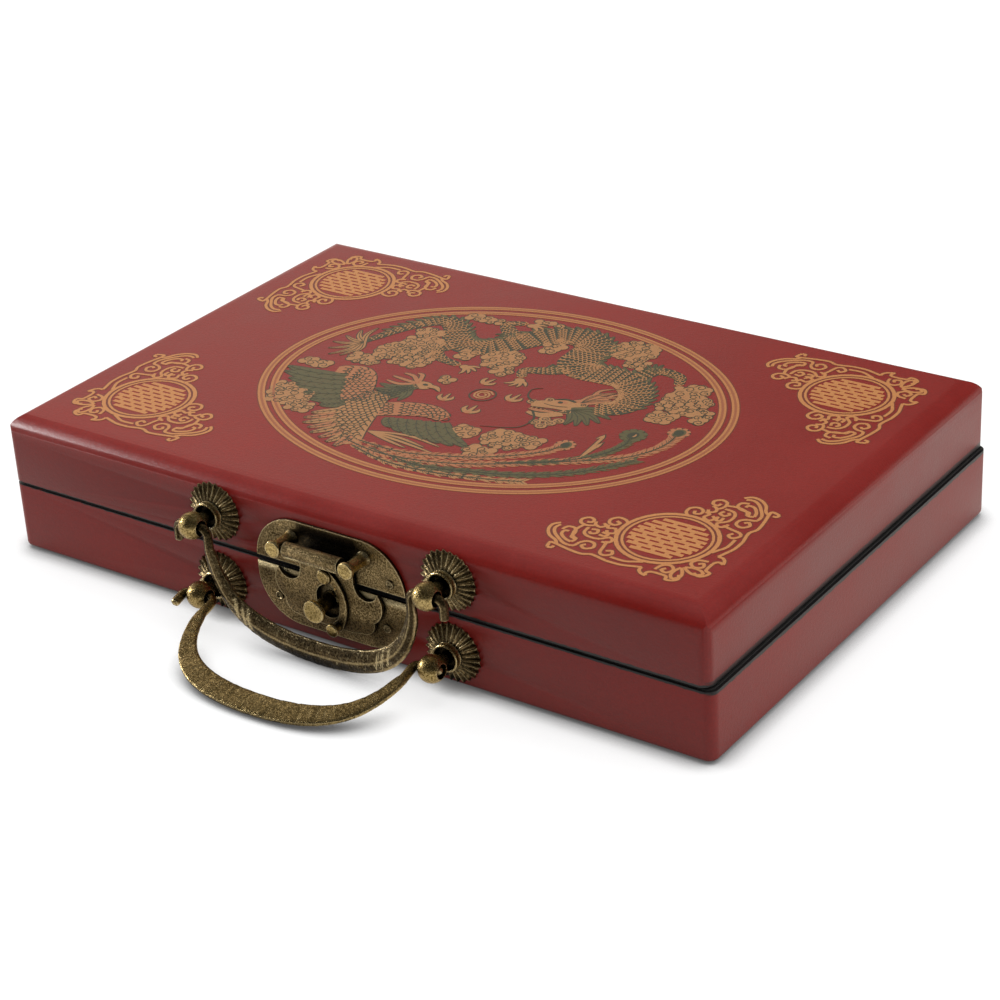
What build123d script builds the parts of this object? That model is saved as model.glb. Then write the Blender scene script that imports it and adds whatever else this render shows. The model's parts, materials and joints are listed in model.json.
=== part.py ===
from build123d import *
from math import asin, atan2, cos, degrees, hypot, pi, sin
import os

# Hinged games case: a wooden box made as two trays, wrapped in thin leather, with an oval hasp lock and two drop
# handles on its long front. Millimetres. The origin is the centre of the rest face, +Z is up, +X runs along the
# front, and the front looks towards -Y.

# --- driving dimensions: the box ---
case_length = 260.0
case_depth = 171.2
case_height = 47.6
parting_height = 24.05  # where the rims of the two trays meet
lid_end_step = 1.2  # the lid is this much shorter than the base, at its right end
corner_radius = 3.4  # upright corners
lid_edge_radius = 7.2  # round-over along the lid's top
base_edge_radius = 1.6  # round-over along the base's bottom
board_thickness = 6.5
base_panel_thickness = 4.0
lid_panel_thickness = 5.0
cover_thickness = 0.8  # leather wrap
cover_setback = 0.55  # the wrap stops this far from the parting line
rim_thickness = 1.0  # black edge strip on top of the boards
felt_thickness = 0.8
felt_drop = 0.6  # the wall felt stops this far from the rim
foot_felt_thickness = 0.7
foot_felt_inset = 2.4

# --- driving dimensions: eyes, rosettes, collars and washers ---
eye_spacing = 87.0  # between the two eyes of one handle
lid_eye_rise = 11.35  # above the parting line
base_eye_drop = 12.45  # below the parting line
eye_reach = 11.0  # from the front face to the handle's pivot
eye_ball_radius = 4.3
eye_ball_width = 7.0
eye_hole_radius = 2.3
eye_neck_radius = 2.0
eye_tail_radius = 1.5
washer_radius = 5.0
washer_thickness = 1.0
washer_clearance = 0.25
peened_head_radius = 2.6
peened_head_height = 0.6
rosette_radius = 9.75
rosette_scallop = 0.8
rosette_flutes = 26
rosette_rim_height = 0.8
rosette_rise = 2.6
collar_radius = 4.4
collar_wall = 0.8
collar_floor = 0.6
collar_height = 2.4

# --- driving dimensions: handles ---
handle_rod_radius = 1.45
handle_side_gap = 0.8  # between the rod's bend and the side of the eye
handle_tip_length = 6.4
handle_length = 35.1  # from the pivot to the far edge of the grip
handle_grip_width = 7.7
handle_arm_width = 4.0
handle_arm_start = 7.0  # where the round rod becomes the flat arm
handle_thickness = 2.5
handle_edge_round = 0.9
handle_outer_knee_drop = 24.0
handle_inner_knee_drop = 19.5
handle_knee_lean = 2.6
handle_shoulder_lean = 10.5

# --- driving dimensions: the lock ---
plate_width = 55.6
plate_rise = 16.2  # above the parting line
plate_drop = 19.2  # below the parting line
plate_corner_radius = 15.4
plate_thickness = 1.0
lid_plate_gap = 1.25  # the lid's half stops this far above the parting line
base_plate_gap = 0.75  # the base's half stops this far below it
nail_head_radius = 1.4
nail_head_height = 0.5
nail_shank_radius = 0.7
nail_length = 5.5
lid_nail_x = 22.5
lid_nail_rise = 4.4
base_nail_x = 20.3
base_nail_drop = 11.0
stud_x = 13.5
stud_rise = 10.65
stud_reach = 10.4
stud_radius = 2.1
stud_head_radius = 2.75
stud_head_thickness = 1.2
stud_spigot_radius = 1.2
stud_spigot_length = 4.0
hasp_axis_reach = 7.8
hasp_barrel_radius = 2.3
hasp_barrel_length = 20.4
hasp_pin_radius = 0.8
pin_clearance = 0.05
hasp_thickness = 1.0
hasp_plate_gap = 0.6
hasp_neck_half_width = 9.9
hasp_knee_drop = 5.1  # below the pin, where the neck starts to bend forward
hasp_knee_radius = 1.5
hasp_notch_x = 14.3
hasp_notch_rise = 1.35
hasp_notch_radius = 4.2
hasp_wing_half_width = 20.0
hasp_wing_drop = 4.05
hasp_wing_radius = 6.5
hasp_foot_half_width = 16.7
hasp_foot_drop = 10.4
hasp_foot_radius = 4.0
hasp_bottom_half_width = 8.0
hasp_bottom_drop = 15.2
hasp_bottom_radius = 2.0
hasp_hole_width = 9.0
hasp_hole_height = 11.0
staple_drop = 6.75
staple_reach = 10.4
staple_radius = 2.4
staple_head_radius = 3.75
staple_head_thickness = 1.6
staple_spigot_radius = 1.5
staple_spigot_length = 5.0
latch_pivot_rise = 2.15
latch_boss_radius = 2.7
latch_thickness = 1.0
latch_gap = 0.1
latch_bulge = 7.4
latch_waist = 2.7
latch_tip_x = 3.7
latch_tip_drop = 13.7
latch_tip_radius = 1.8
rivet_radius = 1.2
rivet_head_radius = 2.5
rivet_head_height = 0.9
knob_radius = 1.1
knob_length = 2.2
knob_head_radius = 2.2
knob_head_thickness = 1.3

# --- driving dimensions: the back hinges ---
hinge_spacing = 150.0
hinge_width = 26.0
hinge_leaf_height = 11.0  # from the parting line to the leaf's far edge
hinge_leaf_thickness = 1.0
hinge_leaf_radius = 2.5
hinge_knuckle_radius = 2.2
hinge_knuckle_gap = 0.2
hinge_pin_radius = 1.1
hinge_wall_gap = 0.1
hinge_leaf_clearance = 0.35
hinge_screw_x = 8.0
hinge_screw_height = 7.2
hinge_screw_radius = 0.8
hinge_screw_length = 5.0
hinge_screw_head_radius = 1.7
hinge_screw_head_height = 0.7

# --- worked out ---
front_y = -case_depth / 2
back_y = case_depth / 2
base_top = parting_height - rim_thickness
lid_bottom = parting_height + rim_thickness
panel_bottom = foot_felt_thickness + cover_thickness
floor_z = panel_bottom + base_panel_thickness
roof_z = case_height - cover_thickness - lid_panel_thickness
lid_length = case_length - lid_end_step
lid_x = -lid_end_step / 2
wall_to_board = cover_thickness + board_thickness
lid_eye_z = parting_height + lid_eye_rise
base_eye_z = parting_height - base_eye_drop
stud_z = parting_height + stud_rise
staple_z = parting_height - staple_drop
latch_z = parting_height + latch_pivot_rise
hasp_back = plate_thickness + hasp_plate_gap
hasp_front = hasp_back + hasp_thickness
latch_back = hasp_front + latch_gap
latch_front = latch_back + latch_thickness
washer_start = peened_head_height - wall_to_board
hinge_axis_reach = hinge_wall_gap + hinge_knuckle_radius
far = 2 * case_length  # past every face of the box
everywhere = (-far, far)

# In the front frame a point is (along the front, height, distance out of the front face); in the back frame it is
# (along the back towards -X, height, distance out of the back face).
FRONT = Plane(origin=(0, front_y, 0), x_dir=(1, 0, 0), z_dir=(0, -1, 0))
BACK = Plane(origin=(0, back_y, 0), x_dir=(-1, 0, 0), z_dir=(0, 1, 0))


def rod(radius, start, end, x=0.0, y=0.0):
    """A round bar along local Z, from start to end."""
    return Pos(x, y, (start + end) / 2) * Cylinder(radius, end - start)


def cross_rod(radius, length, x=0.0, y=0.0, z=0.0):
    """A round bar along X, centred on the point given."""
    return Pos(x, y, z) * Rot(0, 90, 0) * Cylinder(radius, length)


def slab(x_range, y_range, z_range):
    """A plain block between the given limits."""
    ranges = (x_range, y_range, z_range)
    return Pos(*[(a + b) / 2 for a, b in ranges]) * Box(*[b - a for a, b in ranges])


def upright(length, depth, radius, bottom, top, x=0.0):
    """A block with rounded upright corners."""
    return Pos(x, 0, bottom) * extrude(RectangleRounded(length, depth, radius), top - bottom)


# --- the box ---
def base_block(inset, bottom, top):
    """The base's outer shape, moved in by inset, with its bottom edge rounded."""
    block = upright(case_length - 2 * inset, case_depth - 2 * inset, corner_radius - inset, bottom, top)
    return fillet(block.faces().sort_by(Axis.Z)[0].edges(), base_edge_radius - inset)


def lid_block(inset, bottom):
    """The lid's outer shape, moved in by inset: upright corners, cut by the round-over of all four top edges."""
    length, depth = lid_length - 2 * inset, case_depth - 2 * inset
    top, edge = case_height - inset, lid_edge_radius - inset
    plan = upright(length, depth, corner_radius - inset, bottom, top, lid_x)
    front_profile = Pos(lid_x, top - case_height) * RectangleRounded(length, 2 * case_height, edge)
    side_profile = Pos(0, top - case_height) * RectangleRounded(depth, 2 * case_height, edge)
    along_depth = extrude(Plane.XZ * front_profile, case_depth, both=True)
    along_length = extrude(Plane.YZ * side_profile, case_length, both=True)
    return plan & along_depth & along_length


def wall_boards(tray, core, length, x, bottom, top):
    """The four boards inside the wrap: front and back run the full length, the ends fit between them."""
    inner_x, inner_y = length / 2 - wall_to_board, case_depth / 2 - wall_to_board
    return {
        f"{tray}_board_front": core & slab(everywhere, (-far, -inner_y), (bottom, top)),
        f"{tray}_board_back": core & slab(everywhere, (inner_y, far), (bottom, top)),
        f"{tray}_board_left": core & slab((-far, x - inner_x), (-inner_y, inner_y), (bottom, top)),
        f"{tray}_board_right": core & slab((x + inner_x, far), (-inner_y, inner_y), (bottom, top)),
    }


def tray_room(length, x, inset, bottom, top):
    """The room inside a tray, inset from the outside of the wrap."""
    half_length, half_depth = length / 2 - inset, case_depth / 2 - inset
    return slab((x - half_length, x + half_length), (-half_depth, half_depth), (bottom, top))


def rim(length, x, bottom, top):
    """The black edge strip that closes the tops of the boards."""
    strip_length, strip_depth = length - 2 * cover_thickness, case_depth - 2 * cover_thickness
    outline = upright(strip_length, strip_depth, corner_radius - cover_thickness, bottom, top, x)
    return outline - tray_room(length, x, wall_to_board, bottom, top)


def wall_felt(length, x, bottom, top):
    """The felt band glued around the inside of the boards."""
    outside = tray_room(length, x, wall_to_board, bottom, top)
    return outside - tray_room(length, x, wall_to_board + felt_thickness, bottom, top)


# --- eyes, rosettes, collars and washers, each in the front frame, centred on the eye ---
def scalloped(ridge, scallop, height):
    """A flat outline whose edge steps in by scallop between its flutes."""
    corners = []
    for i in range(2 * rosette_flutes):
        radius = ridge if i % 2 == 0 else ridge - scallop
        angle = pi * i / rosette_flutes
        corners.append((radius * cos(angle), radius * sin(angle)))
    return Pos(0, 0, height) * Polygon(*corners, align=None)


def rosette():
    """A pleated cone on a thin scalloped rim."""
    crown_radius = collar_radius + collar_wall / 2
    crown_scallop = rosette_scallop * crown_radius / rosette_radius
    rim_disc = extrude(scalloped(rosette_radius, rosette_scallop, 0), rosette_rim_height)
    foot = scalloped(rosette_radius, rosette_scallop, rosette_rim_height)
    crown = scalloped(crown_radius, crown_scallop, rosette_rise)
    pleats = loft([foot, crown], ruled=True)
    return rim_disc + pleats - rod(eye_tail_radius, 0, rosette_rise)


def collar():
    """A short ferrule around the eye's neck, closed at its foot."""
    foot = rosette_rise
    inside = rod(collar_radius - collar_wall, foot + collar_floor, foot + collar_height)
    neck_hole = rod(eye_neck_radius, foot, foot + collar_floor)
    return rod(collar_radius, foot, foot + collar_height) - inside - neck_hole


def eye():
    """A flattened ball with a cross hole, its neck, the tail through the wall and the peened head inside."""
    width = 4 * eye_ball_radius
    ball = Sphere(eye_ball_radius) & Box(eye_ball_width, width, width)
    neck = rod(eye_neck_radius, rosette_rise, eye_reach)
    tail = rod(eye_tail_radius, -wall_to_board, rosette_rise)
    peened = rod(peened_head_radius, -wall_to_board, washer_start)
    hole = cross_rod(eye_hole_radius, 2 * eye_ball_width, z=eye_reach)
    return Pos(0, 0, eye_reach) * ball + neck + tail + peened - hole


def washer():
    """The plate that the tail is peened over, sunk in the back of the board."""
    outside = rod(washer_radius, washer_start, washer_start + washer_thickness)
    return outside - rod(eye_tail_radius, washer_start, washer_start + washer_thickness)


def eye_cut():
    """What the tail, the washer and the peened head take out of the wrap and the front board."""
    recess = rod(washer_radius + washer_clearance, -wall_to_board, washer_start + washer_thickness)
    return recess + rod(eye_tail_radius, -wall_to_board, 0)


# --- handles ---
def handle(left_tip, right_tip):
    """A drop handle: it turns on X at the origin, its arms run towards -Y, and its rounded side looks to +Z."""
    eye_x = eye_spacing / 2
    bend = handle_side_gap + handle_rod_radius
    inside, outside = eye_x - eye_ball_width / 2 - bend, eye_x + eye_ball_width / 2 + bend
    arm_in, arm_out = inside - handle_arm_width / 2, inside + handle_arm_width / 2

    def half_bow(arm_x, knee_drop, middle_drop):
        return Bezier(
            (arm_x, -handle_arm_start),
            (arm_x - handle_knee_lean, -knee_drop),
            (arm_x - handle_shoulder_lean, -middle_drop),
            (0, -middle_drop),
        )

    inner_drop = handle_length - handle_grip_width
    half = make_face(
        [
            half_bow(arm_out, handle_outer_knee_drop, handle_length),
            Line((0, -handle_length), (0, -inner_drop)),
            half_bow(arm_in, handle_inner_knee_drop, inner_drop),
            Line((arm_in, -handle_arm_start), (arm_out, -handle_arm_start)),
        ]
    )
    outline = half + mirror(half, about=Plane.YZ)
    grip = extrude(outline, handle_thickness / 2, both=True)
    grip = fillet(grip.faces().sort_by(Axis.Z)[-1].edges(), handle_edge_round)

    def rod_end(side, tip):
        corners = [(side * inside, -handle_arm_start - handle_arm_width / 2), (side * inside, 0)]
        if tip:
            corners += [(side * outside, 0), (side * outside, -tip)]
        else:
            corners += [(side * (eye_x + eye_ball_width / 2), 0)]
        path = FilletPolyline(*corners, radius=bend)
        section = Plane(origin=path @ 0, z_dir=path % 0) * Circle(handle_rod_radius)
        return sweep(section, path=path)

    return grip + rod_end(-1, left_tip) + rod_end(1, right_tip)


def lower_handle_pitch():
    """How far the lower handle dips, in degrees, when the far edge of its grip lies on the floor."""
    half = handle_thickness / 2
    return degrees(asin(base_eye_z / hypot(handle_length, half)) - atan2(half, handle_length))


# --- the lock, in the front frame ---
def lock_plate():
    """The whole oval plate, before it is parted."""
    centre = parting_height + (plate_rise - plate_drop) / 2
    outline = RectangleRounded(plate_width, plate_rise + plate_drop, plate_corner_radius)
    return Pos(0, centre) * extrude(outline, plate_thickness)


def nail(x, z):
    """A small nail with a rounded head, driven through a plate into the board."""
    shank = rod(nail_shank_radius, -nail_length, plate_thickness, x, z)
    head = rod(nail_head_radius, plate_thickness, plate_thickness + nail_head_height, x, z)
    return shank + fillet(head.faces().sort_by(Axis.Z)[-1].edges(), nail_head_height / 2)


def headed_post(x, z, radius, head_radius, head_thickness, reach, spigot_radius, spigot_length):
    """A post that stands on a plate, with a disc head, and a spigot through the plate into the board."""
    post = rod(radius, plate_thickness, reach - head_thickness, x, z)
    head = rod(head_radius, reach - head_thickness, reach, x, z)
    return post + head + rod(spigot_radius, -spigot_length, plate_thickness, x, z)


def stud(side):
    return headed_post(
        side * stud_x,
        stud_z,
        stud_radius,
        stud_head_radius,
        stud_head_thickness,
        stud_reach,
        stud_spigot_radius,
        stud_spigot_length,
    )


def staple():
    return headed_post(
        0,
        staple_z,
        staple_radius,
        staple_head_radius,
        staple_head_thickness,
        staple_reach,
        staple_spigot_radius,
        staple_spigot_length,
    )


def hasp_outline():
    """The hasp seen from the front: a neck, two wings under round notches, and a rounded foot."""
    wing_x = hasp_wing_half_width - hasp_wing_radius
    foot_x = hasp_foot_half_width - hasp_foot_radius
    wing_z, foot_z = parting_height - hasp_wing_drop, parting_height - hasp_foot_drop
    bottom_z = parting_height - hasp_bottom_drop + hasp_bottom_radius
    top_z = stud_z + hasp_barrel_radius
    foot_edges = []
    for side in (-1, 1):
        foot_edges += (Pos(side * foot_x, foot_z) * Circle(hasp_foot_radius)).edges()
        foot_edges += (Pos(side * hasp_bottom_half_width, bottom_z) * Circle(hasp_bottom_radius)).edges()
    outline = make_hull(foot_edges)
    outline += Pos(0, (foot_z + top_z) / 2) * Rectangle(2 * hasp_neck_half_width, top_z - foot_z)
    outline += Pos(0, (foot_z + wing_z) / 2) * Rectangle(2 * wing_x, wing_z - foot_z)
    for side in (-1, 1):
        outline += Pos(side * wing_x, wing_z) * Circle(hasp_wing_radius)
        outline -= Pos(side * hasp_notch_x, parting_height + hasp_notch_rise) * Circle(hasp_notch_radius)
    hole = Rot(0, 0, 90) * SlotOverall(hasp_hole_height, hasp_hole_width)
    return outline - Pos(0, staple_z) * hole


def hasp():
    """A flat plate whose neck bends forward and rolls into a barrel around the pin."""
    middle = hasp_back + hasp_thickness / 2
    barrel_back = hasp_axis_reach - hasp_barrel_radius + hasp_thickness / 2
    side_line = FilletPolyline(
        (parting_height - hasp_bottom_drop, middle),
        (stud_z - hasp_knee_drop, middle),
        (stud_z - hasp_knee_drop + barrel_back - middle, barrel_back),
        (stud_z, barrel_back),
        radius=hasp_knee_radius,
    )
    side_profile = Plane.YZ * trace(side_line, line_width=hasp_thickness)
    sheet = extrude(side_profile, hasp_wing_half_width + hasp_thickness, both=True)
    plate = sheet & extrude(hasp_outline(), hasp_axis_reach)
    barrel = cross_rod(hasp_barrel_radius, hasp_barrel_length, 0, stud_z, hasp_axis_reach)
    bore = cross_rod(hasp_pin_radius + pin_clearance, 2 * hasp_barrel_length, 0, stud_z, hasp_axis_reach)
    return plate + barrel - bore - rod(rivet_radius, 0, hasp_front, 0, latch_z)


def latch_rivet():
    """The rivet that the latch swings on."""
    head_start = latch_front + latch_gap
    head = rod(rivet_head_radius, head_start, head_start + rivet_head_height, 0, latch_z)
    head = fillet(head.faces().sort_by(Axis.Z)[-1].edges(), rivet_head_height * 2 / 3)
    return head + rod(rivet_radius, hasp_back, head_start, 0, latch_z)


def swing_latch():
    """A crescent that hangs from the rivet and closes beside the staple."""
    tip_z = parting_height - latch_tip_drop
    middle_z = (latch_z + tip_z) / 2
    slope = latch_boss_radius * sin(pi / 4)
    outer_start = (slope, latch_z + slope)
    outer_end = (latch_tip_x + latch_tip_radius, tip_z)
    inner_end = (latch_tip_x - latch_tip_radius, tip_z)
    inner_start = (slope, latch_z - slope)
    crescent = make_face(
        [
            ThreePointArc(outer_start, (latch_bulge, middle_z), outer_end),
            Line(outer_end, inner_end),
            ThreePointArc(inner_end, (latch_bulge - latch_waist, middle_z), inner_start),
            Line(inner_start, outer_start),
        ]
    )
    outline = crescent + Pos(0, latch_z) * Circle(latch_boss_radius)
    outline += Pos(latch_tip_x, tip_z) * Circle(latch_tip_radius)
    blade = Pos(0, 0, latch_back) * extrude(outline, latch_thickness)
    bore = rod(rivet_radius + pin_clearance, latch_back, latch_front, 0, latch_z)
    return blade - bore - rod(knob_radius, latch_back, latch_front, latch_tip_x, tip_z)


def latch_knob():
    """The finger knob riveted into the latch's tip."""
    tip_z = parting_height - latch_tip_drop
    shank_end = latch_front + knob_length
    head = rod(knob_head_radius, shank_end, shank_end + knob_head_thickness, latch_tip_x, tip_z)
    return rod(knob_radius, latch_back, shank_end, latch_tip_x, tip_z) + head


# --- the back hinges, in the back frame, centred on the hinge at the parting height ---
def hinge_leaf(up, own_segments, bore_radius):
    """A leaf on the wall, with its knuckles. up is 1 for the lid's leaf and -1 for the base's."""
    pitch = hinge_width / 3
    near = hinge_knuckle_radius + hinge_leaf_clearance
    height = hinge_leaf_height - near
    plate = Rectangle(hinge_width, height)
    far_corners = plate.vertices().sort_by(Axis.Y)[2:]
    plate = Pos(0, near + height / 2) * fillet(far_corners, hinge_leaf_radius)
    leaf = extrude(plate, hinge_leaf_thickness)
    for segment in own_segments:
        width = pitch - hinge_knuckle_gap
        web = Pos(segment * pitch, near / 2) * Rectangle(width, near)
        leaf += extrude(web, hinge_leaf_thickness)
        leaf += cross_rod(hinge_knuckle_radius, width, segment * pitch, 0, hinge_axis_reach)
        leaf += slab(
            (segment * pitch - width / 2, segment * pitch + width / 2),
            (0, hinge_leaf_thickness),
            (0, hinge_axis_reach),
        )
    leaf -= cross_rod(bore_radius, 2 * hinge_width, 0, 0, hinge_axis_reach)
    for x in (-hinge_screw_x, hinge_screw_x):
        leaf -= rod(hinge_screw_radius, 0, hinge_leaf_thickness, x, hinge_screw_height)
    return leaf if up > 0 else mirror(leaf, about=Plane.XZ)


def hinge_screw(x, z):
    """A round-headed screw through a leaf into the back board."""
    shank = rod(hinge_screw_radius, -hinge_screw_length, hinge_leaf_thickness, x, z)
    head_end = hinge_leaf_thickness + hinge_screw_head_height
    head = rod(hinge_screw_head_radius, hinge_leaf_thickness, head_end, x, z)
    return shank + fillet(head.faces().sort_by(Axis.Z)[-1].edges(), hinge_screw_head_height * 2 / 3)


def cut_all(shape, cutters):
    for cutter in cutters:
        shape = shape - cutter
    return shape


parts = {}

# front hardware of one tray: a rosette, collar, eye and washer at each end
front_cuts = {"base": [], "lid": []}
for tray, eye_z in (("base", base_eye_z), ("lid", lid_eye_z)):
    for side_name, side in (("left", -1), ("right", 1)):
        place = FRONT * Pos(side * eye_spacing / 2, eye_z)
        parts[f"{tray}_rosette_{side_name}"] = place * rosette()
        parts[f"{tray}_collar_{side_name}"] = place * collar()
        parts[f"{tray}_eye_{side_name}"] = place * eye()
        parts[f"{tray}_washer_{side_name}"] = place * washer()
        front_cuts[tray].append(place * eye_cut())

# lock
plate = lock_plate()
lid_half = plate & slab(everywhere, (parting_height + lid_plate_gap, far), everywhere)
base_half = plate & slab(everywhere, (-far, parting_height - base_plate_gap), everywhere)
nails = {
    "lid": [nail(side * lid_nail_x, parting_height + lid_nail_rise) for side in (-1, 1)],
    "base": [nail(side * base_nail_x, parting_height - base_nail_drop) for side in (-1, 1)],
}
hasp_pin = cross_rod(hasp_pin_radius, 2 * stud_x, 0, stud_z, hasp_axis_reach)
studs = {"left": stud(-1), "right": stud(1)}
parts["lid_lock_plate"] = FRONT * cut_all(lid_half, nails["lid"] + list(studs.values()))
parts["base_lock_plate"] = FRONT * cut_all(base_half, nails["base"] + [staple()])
parts["staple"] = FRONT * staple()
parts["hasp_pin"] = FRONT * hasp_pin
for side_name, post in studs.items():
    parts[f"hasp_stud_{side_name}"] = FRONT * (post - hasp_pin)
for tray, pair in nails.items():
    parts[f"{tray}_plate_nails"] = FRONT * (pair[0] + pair[1])
    front_cuts[tray] += [FRONT * one for one in pair]
front_cuts["lid"] += [FRONT * post for post in studs.values()]
front_cuts["base"].append(FRONT * staple())
parts["hasp"] = FRONT * hasp()
parts["latch_rivet"] = FRONT * latch_rivet()
parts["swing_latch"] = FRONT * swing_latch()
parts["latch_knob"] = FRONT * latch_knob()

# back hinges
back_cuts = {"base": [], "lid": []}
for side_name, side in (("left", -1), ("right", 1)):
    place = BACK * Pos(-side * hinge_spacing / 2, parting_height)
    parts[f"hinge_base_leaf_{side_name}"] = place * hinge_leaf(-1, (-1, 1), hinge_pin_radius)
    parts[f"hinge_lid_leaf_{side_name}"] = place * hinge_leaf(1, (0,), hinge_pin_radius + pin_clearance)
    parts[f"hinge_pin_{side_name}"] = place * cross_rod(hinge_pin_radius, hinge_width, z=hinge_axis_reach)
    for tray, up in (("base", -1), ("lid", 1)):
        for x in (-hinge_screw_x, hinge_screw_x):
            back_cuts[tray].append(place * hinge_screw(x, up * hinge_screw_height))
for tray, screws in back_cuts.items():
    parts[f"hinge_{tray}_screws"] = Part() + screws

# base tray
base_core = base_block(cover_thickness, panel_bottom, base_top)
base_boards = wall_boards("base", base_core, case_length, 0, floor_z, base_top)
parts["base_panel"] = base_core & slab(everywhere, everywhere, (panel_bottom, floor_z))
parts |= base_boards
base_hollow = base_block(cover_thickness, panel_bottom, case_height)
parts["base_cover"] = base_block(0, foot_felt_thickness, parting_height - cover_setback) - base_hollow
parts["base_rim"] = rim(case_length, 0, base_top, parting_height)
parts["base_foot_felt"] = upright(
    case_length - 2 * foot_felt_inset,
    case_depth - 2 * foot_felt_inset,
    corner_radius,
    0,
    foot_felt_thickness,
)
base_felt_top = floor_z + felt_thickness
parts["base_floor_felt"] = tray_room(case_length, 0, wall_to_board, floor_z, base_felt_top)
parts["base_wall_felt"] = wall_felt(case_length, 0, base_felt_top, base_top - felt_drop)

# lid tray
lid_core = lid_block(cover_thickness, lid_bottom)
parts |= wall_boards("lid", lid_core, lid_length, lid_x, lid_bottom, roof_z)
parts["lid_panel"] = lid_core & slab(everywhere, everywhere, (roof_z, case_height))
parts["lid_cover"] = lid_block(0, parting_height + cover_setback) - lid_block(cover_thickness, parting_height)
parts["lid_rim"] = rim(lid_length, lid_x, parting_height, lid_bottom)
lid_felt_bottom = roof_z - felt_thickness
parts["lid_roof_felt"] = tray_room(lid_length, lid_x, wall_to_board, lid_felt_bottom, roof_z)
parts["lid_wall_felt"] = wall_felt(lid_length, lid_x, lid_bottom + felt_drop, lid_felt_bottom)

# holes through the wraps and boards, and through a panel where it is thick enough to meet them
for tray in ("base", "lid"):
    all_cuts = front_cuts[tray] + back_cuts[tray]
    for piece, cuts in (
        ("board_front", front_cuts[tray]),
        ("board_back", back_cuts[tray]),
        ("panel", all_cuts),
        ("cover", all_cuts),
    ):
        parts[f"{tray}_{piece}"] = cut_all(parts[f"{tray}_{piece}"], cuts)

# handles
pivot_y = front_y - eye_reach
hanging = Rot(90, 0, 0)
resting = Rot(lower_handle_pitch(), 0, 0) * Rot(0, 180, 0)  # on the floor, flat side up
upper_handle = handle(handle_tip_length, handle_tip_length)
lower_handle = handle(0, handle_tip_length)
parts["upper_handle"] = Pos(0, pivot_y, lid_eye_z) * hanging * upper_handle
parts["lower_handle"] = Pos(0, pivot_y, base_eye_z) * resting * lower_handle

os.makedirs("parts", exist_ok=True)
for name, shape in parts.items():
    shape.label = name
    export_step(shape, f"parts/{name}.step")
print(f"{len(parts)} nodes, lower handle pitch {lower_handle_pitch():.2f} degrees")
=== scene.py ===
import json
from contextlib import contextmanager
from math import asin, atan2, cos, hypot, pi, radians, sin, sqrt

import bpy
from mathutils import Matrix, Vector, noise


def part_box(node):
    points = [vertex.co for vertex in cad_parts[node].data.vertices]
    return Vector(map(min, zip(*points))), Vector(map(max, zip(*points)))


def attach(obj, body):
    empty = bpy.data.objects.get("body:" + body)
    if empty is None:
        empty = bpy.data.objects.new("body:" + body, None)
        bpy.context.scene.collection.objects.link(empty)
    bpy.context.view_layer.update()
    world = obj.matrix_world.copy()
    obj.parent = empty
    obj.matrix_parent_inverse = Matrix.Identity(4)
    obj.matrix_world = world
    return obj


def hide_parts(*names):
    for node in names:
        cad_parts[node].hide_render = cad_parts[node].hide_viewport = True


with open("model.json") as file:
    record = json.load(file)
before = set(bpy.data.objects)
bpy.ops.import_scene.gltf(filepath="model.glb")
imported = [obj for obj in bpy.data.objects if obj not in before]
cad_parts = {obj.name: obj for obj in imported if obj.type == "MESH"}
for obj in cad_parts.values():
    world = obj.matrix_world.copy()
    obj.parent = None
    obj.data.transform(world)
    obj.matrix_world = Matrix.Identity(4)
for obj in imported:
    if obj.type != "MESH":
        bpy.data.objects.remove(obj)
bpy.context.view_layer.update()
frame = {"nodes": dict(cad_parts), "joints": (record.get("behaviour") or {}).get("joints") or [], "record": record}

# Lengths in this file are millimetres, turned to metres by MM; places come from the loaded frame.
MM = 0.001
WELD = 0.001  # points nearer than this are one point


def millimetres(vector):
    return Vector(vector) / MM


def node_box(node):
    low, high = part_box(node)
    return millimetres(low), millimetres(high)


def joint_at(name):
    return next(millimetres(joint["pos_m"]) for joint in frame["joints"] if joint["name"] == name)


# --- places read from the frame ---
LID_HIGH = node_box("lid_cover")[1]
FRONT_Y = node_box("base_cover")[0].y
PARTING_Z = joint_at("lid_hinge").z
UPPER_PIVOT = joint_at("upper_handle_swing")
LOWER_PIVOT = joint_at("lower_handle_swing")
HASP_PIVOT = joint_at("hasp_hinge")
LATCH_PIVOT = joint_at("latch_pivot")
EYE_X = sum(corner.x for corner in node_box("lid_eye_right")) / 2
HANDLE_LENGTH = UPPER_PIVOT.z - node_box("upper_handle")[0].z

FRONT_TURN = Matrix.Rotation(radians(90), 4, "X")  # local Y is up and local Z looks out of the front
UNMOVED = Matrix.Identity(4)


def middle_of(node):
    """The middle of a node's box, as x and z."""
    low, high = node_box(node)
    return (low.x + high.x) / 2, (low.z + high.z) / 2


# --- modelling helpers ---
def only(obj):
    """Selects this object alone and makes it active."""
    bpy.ops.object.select_all(action="DESELECT")
    obj.select_set(True)
    bpy.context.view_layer.objects.active = obj


@contextmanager
def editing(obj, mode="FACE"):
    only(obj)
    bpy.ops.object.mode_set(mode="EDIT")
    bpy.ops.mesh.select_mode(type=mode)
    yield
    bpy.ops.object.mode_set(mode="OBJECT")


def reshape(obj, rule):
    """Moves every vertex to where the rule puts it, both in millimetres."""
    for vertex in obj.data.vertices:
        vertex.co = rule(vertex.co / MM) * MM
    obj.data.update()


def named(obj, name):
    obj.name = name
    obj.data.name = name
    return obj


def apply_modifier(obj, kind, **settings):
    only(obj)
    modifier = obj.modifiers.new(kind.lower(), kind)
    for key, value in settings.items():
        setattr(modifier, key, value)
    bpy.ops.object.modifier_apply(modifier=modifier.name)


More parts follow.
